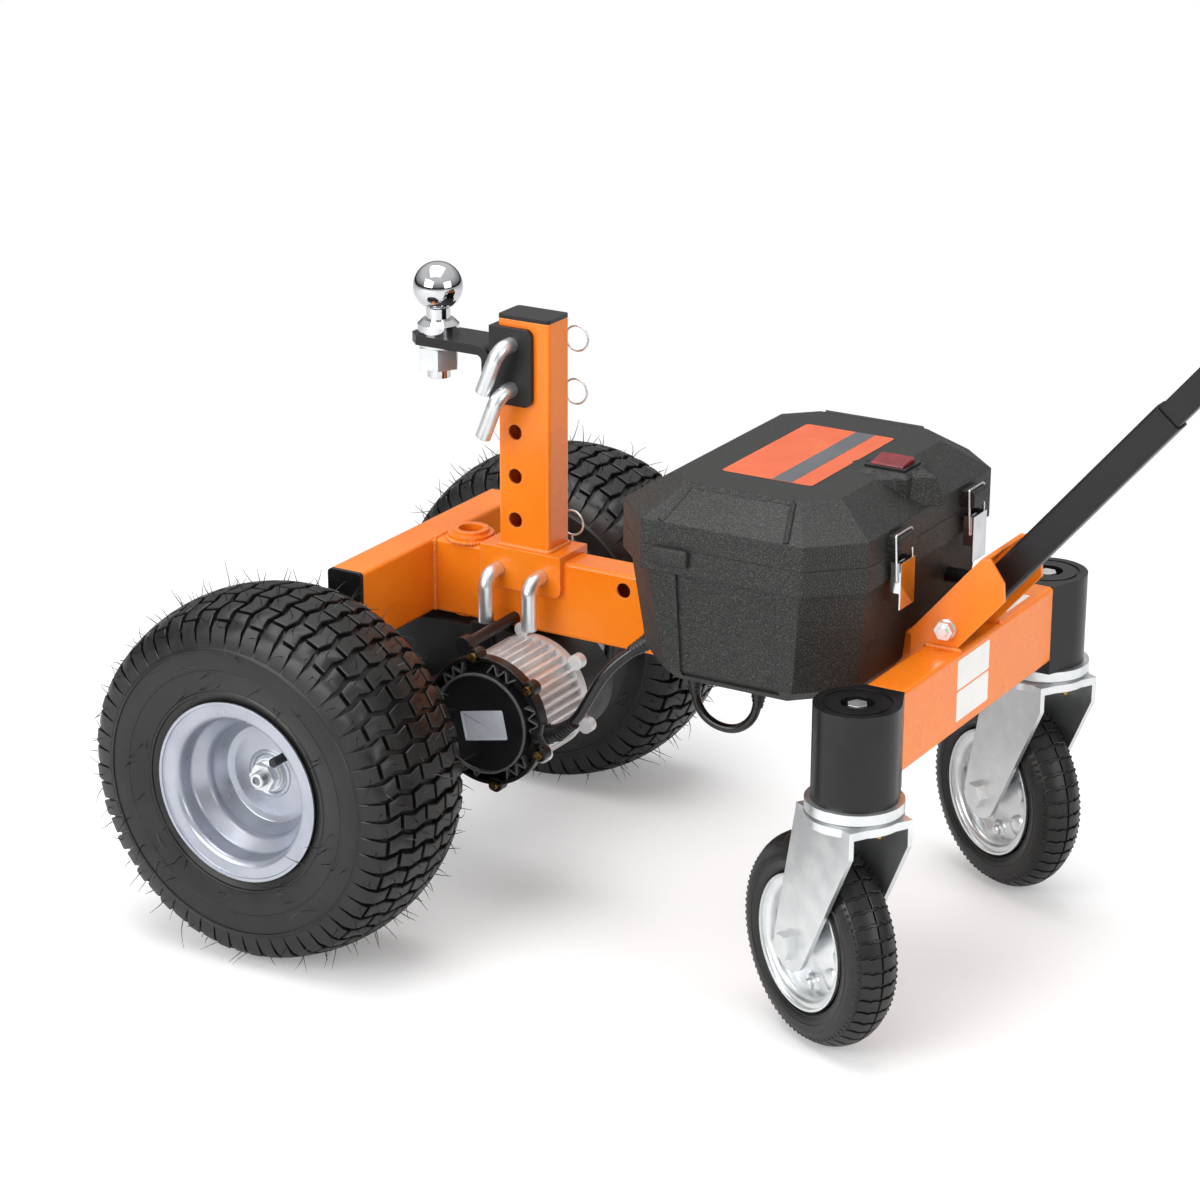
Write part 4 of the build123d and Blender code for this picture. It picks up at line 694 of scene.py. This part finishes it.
def addDriveRims(spec):
    rims, valves, studs = bmesh.new(), bmesh.new(), bmesh.new()
    for side in sides.values():
        centre = at(0, side * drive["y"], drive["z"])
        out = axisY * side
        barrel = sheetProfile(spec["barrel"], spec["barrelBends"], spec["sheet"])
        disc = sheetProfile(spec["disc"], spec["discBends"], spec["sheet"])
        for profile in (barrel, disc, spec["hub"], spec["collar"]):
            joinInto(rims, turned(profile, centre, out, spec["steps"]))
        joinInto(studs, turned(spec["stud"], centre, out, spec["studSteps"]))
        joinInto(studs, turned(spec["spacer"], centre, out, spec["spacerSteps"]))
        turn = radians(spec["valveAngle"])
        foot = centre + Vector((cos(turn), 0, sin(turn))) * spec["valveRadius"] * mm
        joinInto(valves, turned(spec["valve"], foot, out, spec["valveSteps"], closed=False))
    rim = addPiece("driveRims", rims, "silverLacquer", "drive_wheels")
    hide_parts("drive_rims")
    addPiece("valveStems", valves, "rubberSoft", "drive_wheels")
    addPiece("axleStudRims", studs, "zincPlatePassivated", "drive_wheels")


addDriveRims(driveRim)
print("drive rims made")


# Caster rims: two pressed halves, bolted together through raised pads
casterRim = {
    "sheet": 2.6, "steps": 80, "bosses": 4, "bossSteps": 20,
    "barrel": [(25.5, 65.6), (21.2, 65.6), (20.5, 56.5), (-20.5, 56.5), (-21.2, 65.6), (-25.5, 65.6)],
    "barrelBends": [2.0, 5, 5, 2.0],
    "disc": [(6.2, 57.5), (5.4, 36), (18.4, 14)],
    "discBends": [10],
    "hub": [(-29, 8.1), (-29, 15.2), (-28.2, 16), (28.2, 16), (29, 15.2), (29, 8.1)],
    # profile, radius of its ring and turn along that ring
    "bossKinds": [
        ([(5.6, 0), (5.6, 10.5), (8.4, 9.6), (9.4, 7.5), (9.6, 0)], 46, 0),
        ([(9.4, 0), (9.4, 5.6), (12.6, 5.2), (13.6, 3.8), (13.6, 0)], 46, 0),
        ([(5.2, 0), (5.2, 13.5), (7.6, 12.0), (9.6, 8.6), (10.4, 4.2), (10.6, 0)], 42, 45),
    ],
}


def addCasterRim(name, side, spec):
    place = casterSpec(side)
    centre, axis = place["centre"], place["axis"]
    barrel = sheetProfile(spec["barrel"], spec["barrelBends"], spec["sheet"])
    disc = sheetProfile(spec["disc"], spec["discBends"], spec["sheet"])
    bm = turned(barrel, centre, axis, spec["steps"])
    joinInto(bm, turned(spec["hub"], centre, axis, spec["steps"]))
    for hand in (-1, 1):
        out = axis * hand
        joinInto(bm, turned(disc, centre, out, spec["steps"]))
        for profile, ring, turn in spec["bossKinds"]:
            for k in range(spec["bosses"]):
                angle = radians(360 / spec["bosses"] * k + turn)
                way = place["ahead"] * cos(angle) + axisZ * sin(angle)
                boss = turned(profile, centre + way * ring * mm, out, spec["bossSteps"], closed=False)
                joinInto(bm, boss)
    body = "caster_wheel_" + name.lower()
    rim = addPiece("casterRim" + name, bm, "zincPlatePassivated", body)
    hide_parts("caster_rim_" + name.lower())


for name, side in sides.items():
    addCasterRim(name, side, casterRim)
print("caster rims made")


# Motor end cap: a drum with a raised ring, a trough with zigzag ribs and six screw lugs
motorCap = {
    "x": 145.9, "y": -112, "z": 217.0, "steps": 96, "lugSteps": 24,
    "cap": [
        (18.6, 0), (18.6, 49.6), (20, 50.4), (20, 52.2), (19.2, 53), (4, 53), (4, 58), (7, 58.4), (7, 59.6),
        (4, 60), (4, 63.6), (11.4, 63.6), (12, 64.2), (12, 67.4), (11.4, 68), (0, 68), (0, 0),
    ],
    "rim": [(18.2, 51.0), (18.2, 53.2), (20.4, 53.2), (20.4, 51.0)],
    "lugRing": 68, "lugs": 6, "lugTurn": 100,
    "lug": [(0, 3.1), (11.2, 3.1), (12, 3.9), (12, 7.2), (11.2, 8), (0, 8)],
    "ribPitch": 6.5, "ribs": 5, "ribInner": 52.6, "ribOuter": 64.2, "ribThick": 1.5, "ribDeep": 7.2,
    "ribMiddle": 8.2,
}


def addMotorCap(spec):
    out = -axisY
    centre = at(spec["x"], spec["y"], spec["z"])
    bm = turned(spec["cap"], centre, out, spec["steps"], closed=False)
    ribs = turned(spec["rim"], centre, out, spec["steps"])
    for k in range(spec["lugs"]):
        turn = radians(spec["lugTurn"] + 360 / spec["lugs"] * k)
        way = axisX * cos(turn) + axisZ * sin(turn)
        lug = centre + way * spec["lugRing"] * mm
        joinInto(bm, turned(spec["lug"], lug, out, spec["lugSteps"]))
        middle = centre + out * spec["ribMiddle"] * mm
        ends = []
        for i in range(spec["ribs"] + 1):
            angle = turn + radians(180 / spec["lugs"] + (i - spec["ribs"] / 2) * spec["ribPitch"])
            radius = spec["ribInner"] if i % 2 else spec["ribOuter"]
            ends.append(middle + (axisX * cos(angle) + axisZ * sin(angle)) * radius * mm)
        for start, end in zip(ends, ends[1:]):
            addBar(ribs, start, end, out, spec["ribThick"], spec["ribDeep"])
    # the raised ring and ribs are the cap's black plastic, painted grey as their highlight
    addPiece("motorCapRibs", ribs, "blackNylonPaintedHighlight", "frame")
    cap = addPiece("motorCap", bm, "blackPolypropyleneSmooth", "frame")
    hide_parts("motor_end_cap")


addMotorCap(motorCap)
print("motor cap made")


# Bare plates where the real ones are printed or stamped
label = {"centre": (441.7, 0, 512.6), "faces": "up", "thick": 0.3, "body": "lid"}
sticker = {
    "size": (71, 30), "faces": "front", "corner": 2, "thick": 0.3,
    "finish": "whiteVinylPlain", "body": "frame", "slot": "silver_paint",
}
plates = {
    "motorPlate": {
        "centre": (149.6, -130.5, 215.3), "size": (51, 31), "faces": "near", "tilt": 12, "corner": 1.6,
        "thick": 0.5, "border": 1.8, "groove": (0.4, 0.3),
        "finish": "aluminiumBrushed", "body": "frame", "slot": "cast_aluminium",
    },
    # a smooth black sheet a little larger than the label: its rim is the lid's black, darkened as painted
    # shade of the recess the label sits in
    "lidLabelShadeRim": {
        **label, "size": (99.5, 180.5), "corner": 4.5, "thick": 0.15,
        "finish": "blackPolypropyleneSmooth", "slot": "black_plastic",
    },
    "lidLabel": {
        **label, "size": (97, 178), "corner": 4, "finish": "orangeVinylPrinted", "slot": "orange_powder_coat",
    },
    "lidLabelBand": {
        **label, "centre": (458.2, 0, 512.8), "size": (21, 177), "corner": 0.5, "thick": 0.25,
        "finish": "greyVinylPrinted", "slot": "silver_paint",
    },
    "frontLabelUpper": {**sticker, "centre": (631, -17.6, 338)},
    "frontLabelLower": {**sticker, "centre": (631, -17.6, 306)},
    "topStrip": {**sticker, "centre": (616, 106, 360), "size": (11, 54), "faces": "up", "corner": 1.5},
}
plateWays = {"near": (axisX, axisZ), "up": (axisX, axisY), "front": (axisY, axisZ)}
cornerSteps = 5


def addPlate(name, spec):
    # a thin plate with round corners, lying on what carries it
    bm = bmesh.new()
    width, height = (side * mm for side in spec["size"])
    flat = Matrix.Diagonal((width, height, 1, 1))
    bmesh.ops.create_grid(bm, x_segments=1, y_segments=1, size=0.5, matrix=flat)
    breakEdges(bm, bm.verts[:], spec["corner"] * mm, cornerSteps, "VERTICES")
    pull = bmesh.ops.extrude_face_region(bm, geom=bm.faces[:])["geom"]
    bmesh.ops.translate(bm, verts=only(BMVert, pull), vec=axisZ * spec["thick"] * mm)
    if "border" in spec:
        faces = only(BMFace, pull)
        width, depth = spec["groove"]
        bmesh.ops.inset_region(bm, faces=faces, thickness=spec["border"] * mm)
        bmesh.ops.inset_region(bm, faces=faces, thickness=width * mm, depth=-depth * mm)
    bmesh.ops.recalc_face_normals(bm, faces=bm.faces)
    right, up = plateWays[spec["faces"]]
    out = right.cross(up)
    tilt = Matrix.Rotation(radians(spec.get("tilt", 0)), 3, out)
    turn = Matrix((tilt @ right, tilt @ up, out)).transposed().to_4x4()
    bmesh.ops.transform(bm, matrix=Matrix.Translation(at(*spec["centre"])) @ turn, verts=bm.verts)
    addPiece(name, bm, spec["finish"], spec["body"])


for name, spec in plates.items():
    addPlate(name, spec)
print("plates made")


# Trim of the battery box: frames on the lid's slopes, a flared foot round the switch, grip blocks
boxTrim = {
    "slopeFoot": (177.8, 485.2), "slopeTop": (139.0, 510.7), "panelFoot": (378, 510), "panelTop": (389, 497),
    "frameThick": 6.0, "frameDeep": 2.6, "topLean": 24, "sideLean": 20,
    "switch": (531, 0, 500), "switchFlat": 0.83, "skin": (531, 0, 511.4), "skinLean": 33.35,
    "switchFoot": [(-15, 39), (11.4, 33), (16.3, 25.5), (16.3, 20.5), (-15, 20.5)],
    "block": {"centre": (391, 178.5, 452.4), "size": (37, 15, 17), "edge": 2.0, "edgeSteps": 3},
}


def addLidFrames(spec):
    bm = bmesh.new()
    footY, footZ = spec["slopeFoot"]
    topY, topZ = spec["slopeTop"]
    for side in sides.values():
        foot = [at(x, side * footY, footZ) for x in spec["panelFoot"]]
        top = [at(x, side * topY, topZ) for x in spec["panelTop"]]
        out = axisX.cross(top[0] - foot[0]).normalized() * -side
        lean = Matrix.Rotation(radians(spec["topLean"]) * side, 3, "X")
        addBar(bm, top[0], top[1], lean.inverted() @ out, spec["frameThick"], spec["frameDeep"])
        for hand, start, end in ((1, foot[0], top[0]), (-1, foot[1], top[1])):
            way = (end - start).normalized()
            turn = Matrix.Rotation(radians(spec["sideLean"]) * hand, 3, way)
            addBar(bm, start, end, turn @ out, spec["frameThick"], spec["frameDeep"])
    addPiece("lidFrames", bm, "blackPolypropyleneTextured", "lid")


def addSwitchFoot(spec):
    # cut off along the lid's own skin, flat behind the switch and sloping before it
    whole = bmesh.new()
    # four steps of a spin draw a square whose corners, not sides, are at the radius
    profile = [(height, half * 2 ** 0.5) for height, half in spec["switchFoot"]]
    turn = Matrix.Rotation(radians(45), 4, "Z")
    shape = Matrix.Diagonal((1, spec["switchFlat"], 1, 1))
    skin = at(*spec["skin"])
    for hand, lean in ((-1, 0), (1, radians(spec["skinLean"]))):
        bm = turned(profile, Vector(), axisZ, 4)
        bmesh.ops.transform(bm, matrix=Matrix.Translation(at(*spec["switch"])) @ shape @ turn, verts=bm.verts)
        for normal in (axisX * hand, Vector((sin(lean), 0, cos(lean)))):
            bmesh.ops.bisect_plane(bm, geom=everything(bm), plane_co=skin, plane_no=normal, clear_inner=True)
        joinInto(whole, bm)
    bmesh.ops.remove_doubles(whole, verts=whole.verts, dist=tiny)
    addPiece("switchFoot", whole, "blackPolypropyleneTextured", "lid")


def addGripBlocks(spec):
    bm = bmesh.new()
    x, y, z = spec["centre"]
    size = Matrix.Diagonal((*(side * mm for side in spec["size"]), 1))
    for side in sides.values():
        bmesh.ops.create_cube(bm, size=1, matrix=Matrix.Translation(at(x, side * y, z)) @ size)
    breakEdges(bm, bm.edges[:], spec["edge"] * mm, spec["edgeSteps"])
    addPiece("gripBlocks", bm, "blackPolypropyleneTextured", "frame")


addLidFrames(boxTrim)
addSwitchFoot(boxTrim)
addGripBlocks(boxTrim["block"])
print("box trim made")


# Weld beads: overlapping drops along the joints between the tubes
welds = {
    "seed": 5, "drop": 2.6, "dropSteps": 2, "pitch": 2.4, "spread": (0.9, 1.1), "along": 0.8,
    "off": 0.8, "over": 2,
    # the plane's x and the tube's half width, low and high side
    "frames": [(20.8, 20, 282, 358), (590.2, 20, 282, 358)],
    "foot": (99, 159, 20, 367.6),
    "bossRing": (52.4, 24, 361), "bossSteps": 48,
    "bracket": (594, 630, 46.5, 361),
}


def weldPaths(spec):
    paths = []
    for x, half, low, high in spec["frames"]:
        for side in (-1, 1):
            y = side * (half + spec["off"])
            paths.append([(x, y, low), (x, y, high)])
        paths.append([(x, -half, high + spec["over"]), (x, half, high + spec["over"])])
    start, end, half, z = spec["foot"]
    paths.append([(start, -half, z), (end, -half, z), (end, half, z), (start, half, z), (start, -half, z)])
    x, radius, z = spec["bossRing"]
    angles = [2 * pi * k / spec["bossSteps"] for k in range(spec["bossSteps"] + 1)]
    paths.append([(x + radius * cos(a), radius * sin(a), z) for a in angles])
    start, end, half, z = spec["bracket"]
    paths += [[(start, side * half, z), (end, side * half, z)] for side in (-1, 1)]
    return paths


def addWelds(spec):
    bm = bmesh.new()
    draw = random.Random(spec["seed"])
    for path in weldPaths(spec):
        for start, end in zip(path, path[1:]):
            run = at(*end) - at(*start)
            count = max(round(run.length / (spec["pitch"] * mm)), 1)
            turn = run.to_track_quat("X", "Z").to_matrix().to_4x4()
            for k in range(count):
                size = spec["drop"] * draw.uniform(*spec["spread"]) * mm
                shape = Matrix.Diagonal((size * spec["along"], size, size, 1))
                place = Matrix.Translation(at(*start) + run * (k + 0.5) / count) @ turn @ shape
                bmesh.ops.create_icosphere(bm, subdivisions=spec["dropSteps"], radius=1, matrix=place)
    addPiece("weldBeads", bm, "orangePowderCoatSprayed", "frame", sharp=180)


addWelds(welds)
print("welds made")


# Brass grease nipples under the fork crowns
greaseNipple = {
    "offset": (27.6, -4.3), "top": 245, "steps": 12,
    "shape": [
        (0, 0), (0, 4.2), (4.4, 4.2), (4.8, 3.0), (8.2, 2.5), (9.0, 3.1), (11.2, 3.1), (12.6, 1.6), (12.8, 0),
    ],
}
for name, side in sides.items():
    dx, dy = greaseNipple["offset"]
    top = at(caster["x"] + dx, side * caster["y"] + dy, greaseNipple["top"])
    bm = turned(greaseNipple["shape"], top, -axisZ, greaseNipple["steps"], closed=False)
    addPiece("greaseNipple" + name, bm, "brassTurned", "caster_" + name.lower())
print("grease nipples made")


# Cables, along the solids' own routes
motorCable = {
    "node": "motor_cable", "diameter": 11.0, "length": 141.0,
    "points": [
        (231, -120, 221), (250, -119, 236), (264, -117, 262), (278, -112, 289), (296, -103, 310),
        (318, -95, 326),
    ],
}
loopCable = {
    "node": "loop_cable", "diameter": 9.0, "length": 132.0,
    "points": [
        (374, -100, 303), (374.6, -101, 283), (384, -102.5, 266), (400, -103, 257.5), (419, -102.5, 256.5),
        (435, -102, 266), (444, -101, 283), (444.6, -100, 303),
    ],
}
cordMesh = (3, 16, 7)  # the spline's order, its steps between points and the steps round it


def addCord(name, spec):
    line = bpy.data.curves.new(name, "CURVE")
    line.dimensions = "3D"
    spline = line.splines.new("NURBS")
    spline.points.add(len(spec["points"]) - 1)
    for point, place in zip(spline.points, spec["points"]):
        point.co = (*at(*place), 1)
    spline.use_endpoint_u = True
    spline.order_u, spline.resolution_u, line.bevel_resolution = cordMesh
    line.bevel_depth = spec["diameter"] / 2 * mm
    line.use_fill_caps = True
    line.materials.append(finish["cableVinylExtruded"])
    obj = addObject(name, line)
    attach(obj, "frame")
    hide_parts(spec["node"])
    print(name, "measures", round(spline.calc_length() * 1000, 1), "mm")


# Strain reliefs: ribbed sleeves that taper onto the cables, and the hexagon of the motor's gland
reliefs = {
    "steps": 32, "thick": 9.0, "bore": 0.7, "groove": 1.1, "rib": (0.15, 0.55, 0.65, 0.95),
    # cable, its end point, the next one, then the sleeve's length, ribs, play and the part of it that is sunk
    "sleeves": [
        (motorCable, 0, 1, 26, 7, 0.7, 3), (motorCable, -1, -2, 22, 5, 0.7, 2),
        (loopCable, 0, 1, 20, 5, 0.6, 2), (loopCable, -1, -2, 20, 5, 0.6, 2),
    ],
    "gland": (205, -120, 212), "nutSides": 6,
    "nut": [(8, 9.2), (8, 11.4), (8.8, 12), (15, 12), (15.8, 11.4), (15.8, 9.2)],
}


def sleeveProfile(length, ribs, thin):
    # a tapered sleeve with rounded ribs
    thick, bore = reliefs["thick"], reliefs["bore"]
    start, top, foot, end = reliefs["rib"]
    profile = [(0, thin * bore), (0, thick)]
    for k in range(ribs):
        radius = thick + (thin - thick) * (k + 0.5) / ribs
        low = radius - reliefs["groove"]
        for share, r in ((start, radius), (top, radius), (foot, low), (end, low)):
            profile.append((length / ribs * (k + share), r))
    return profile + [(length, thin), (length, thin * bore)]


def addReliefs(spec):
    bm = bmesh.new()
    for cable, index, inner, length, ribs, play, sunk in spec["sleeves"]:
        end = at(*cable["points"][index])
        way = (at(*cable["points"][inner]) - end).normalized()
        profile = sleeveProfile(length, ribs, cable["diameter"] / 2 + play)
        joinInto(bm, turned(profile, end - way * sunk * mm, way, spec["steps"]))
    gland = at(*spec["gland"])
    way = (at(*motorCable["points"][0]) - gland).normalized()
    joinInto(bm, turned(spec["nut"], gland, way, spec["nutSides"]))
    addPiece("strainReliefs", bm, "rubberSoft", "frame")


addCord("motorCord", motorCable)
addCord("loopCord", loopCable)
addReliefs(reliefs)
print("cables made")


# Stage: a white floor, soft boxes over it and a dark ring that only mirrors see
studio = {
    "floorSide": 60.0, "floorColor": "#F2F2F2", "floorGlow": 0.19, "whiteSpan": (0.85, 1.9),
    "worldLevel": 0.55, "mirrorLevels": (0.12, 0.75), "horizon": (0.02, 0.55),
    "lights": [
        # name, place in metres from the middle of the floor, sides, power
        ("overhead", (-0.5, -0.2, 3.2), (3.2, 2.4), 66),
        ("sideRight", (3.2, -0.6, 1.5), (2.4, 1.8), 38),
        ("frontLeft", (-1.2, -3.4, 1.8), (2.8, 2.0), 84),
    ],
    "aim": (0.0, 0.0, 0.3),
    "ring": {"radius": 4.5, "low": 0.30, "high": 0.85, "color": "#101010", "sides": 48},
}


def floorMaterial(spec):
    # white paint under the object, and plain white far from it for the camera alone
    material, shader = newMaterial("studioFloorPainted")
    tree = material.node_tree
    tree.nodes.remove(shader)
    paint = addNode(tree, "ShaderNodeBsdfDiffuse", {"Color": fromHex(spec["floorColor"])})
    glow = addNode(tree, "ShaderNodeEmission", {"Strength": spec["floorGlow"]})
    near = addNode(tree, "ShaderNodeAddShader", links={0: paint.outputs[0], 1: glow.outputs[0]})
    white = addNode(tree, "ShaderNodeEmission")
    place = addNode(tree, "ShaderNodeTexCoord").outputs["Object"]
    far = addNode(tree, "ShaderNodeVectorMath", links={0: place}, operation="LENGTH")
    start, end = spec["whiteSpan"]
    share = addNode(
        tree, "ShaderNodeMapRange", {"From Min": start, "From Max": end}, {"Value": far.outputs["Value"]},
        interpolation_type="SMOOTHSTEP"
    )
    seen = addNode(
        tree, "ShaderNodeMixShader", links={0: share.outputs[0], 1: near.outputs[0], 2: white.outputs[0]}
    )
    ray = addNode(tree, "ShaderNodeLightPath").outputs["Is Camera Ray"]
    pick = addNode(tree, "ShaderNodeMixShader", links={0: ray, 1: paint.outputs[0], 2: seen.outputs[0]})
    tree.links.new(pick.outputs[0], tree.nodes["Material Output"].inputs["Surface"])
    return material


def setFloor(spec):
    bm = bmesh.new()
    bmesh.ops.create_grid(bm, x_segments=1, y_segments=1, size=spec["floorSide"] / 2)
    floor = addObject("floor", meshFrom("floor", bm))
    floor.data.materials.append(floorMaterial(spec))


def setLights(spec):
    for name, place, size, power in spec["lights"]:
        lamp = bpy.data.lights.new(name, "AREA")
        lamp.shape = "RECTANGLE"
        lamp.size, lamp.size_y = size
        lamp.energy = power
        obj = addObject(name, lamp)
        way = Vector(spec["aim"]) - Vector(place)
        obj.matrix_world = Matrix.Translation(place) @ way.to_track_quat("-Z", "Y").to_matrix().to_4x4()


def setWorld(spec):
    # full white for the camera, less of it as light, and dark near the horizon for what mirrors it
    world = bpy.data.worlds.new("studioWorld")
    bpy.context.scene.world = world
    world.use_nodes = True
    tree = world.node_tree
    path = addNode(tree, "ShaderNodeLightPath").outputs
    seen = addNode(
        tree, "ShaderNodeMath", links={0: path["Is Camera Ray"], 1: path["Is Transmission Ray"]},
        operation="MAXIMUM"
    )
    level = addNode(tree, "ShaderNodeMapRange", {"To Min": spec["worldLevel"]}, {"Value": seen.outputs[0]})
    ray = addNode(tree, "ShaderNodeTexCoord").outputs["Generated"]
    height = addNode(tree, "ShaderNodeSeparateXYZ", links={"Vector": ray}).outputs["Z"]
    (start, end), (low, high) = spec["horizon"], spec["mirrorLevels"]
    mirror = addNode(
        tree, "ShaderNodeMapRange", {"From Min": start, "From Max": end, "To Min": low, "To Max": high},
        {"Value": height}
    )
    glossy = addNode(
        tree, "ShaderNodeMix",
        links={0: path["Is Glossy Ray"], 2: level.outputs["Result"], 3: mirror.outputs["Result"]}
    )
    back = tree.nodes["Background"]
    back.inputs["Color"].default_value = fromHex("#FFFFFF")
    tree.links.new(glossy.outputs[0], back.inputs["Strength"])


def setRing(spec):
    bm = bmesh.new()
    made = bmesh.ops.create_circle(
        bm, segments=spec["sides"], radius=spec["radius"], matrix=Matrix.Translation((0, 0, spec["low"]))
    )
    edges = list({e for v in made["verts"] for e in v.link_edges})
    pull = bmesh.ops.extrude_edge_only(bm, edges=edges)["geom"]
    lift = spec["high"] - spec["low"]
    bmesh.ops.translate(bm, verts=only(BMVert, pull), vec=axisZ * lift)
    ring = addObject("darkRing", meshFrom("darkRing", bm))
    dark, shader = newMaterial("ringFlocked")
    shader.inputs["Base Color"].default_value = fromHex(spec["color"])
    shader.inputs["Roughness"].default_value = 1.0
    ring.data.materials.append(dark)
    ring.visible_camera = ring.visible_diffuse = ring.visible_shadow = ring.visible_transmission = False


setFloor(studio)
setLights(studio)
setWorld(studio)
setRing(studio["ring"])
print("stage set")
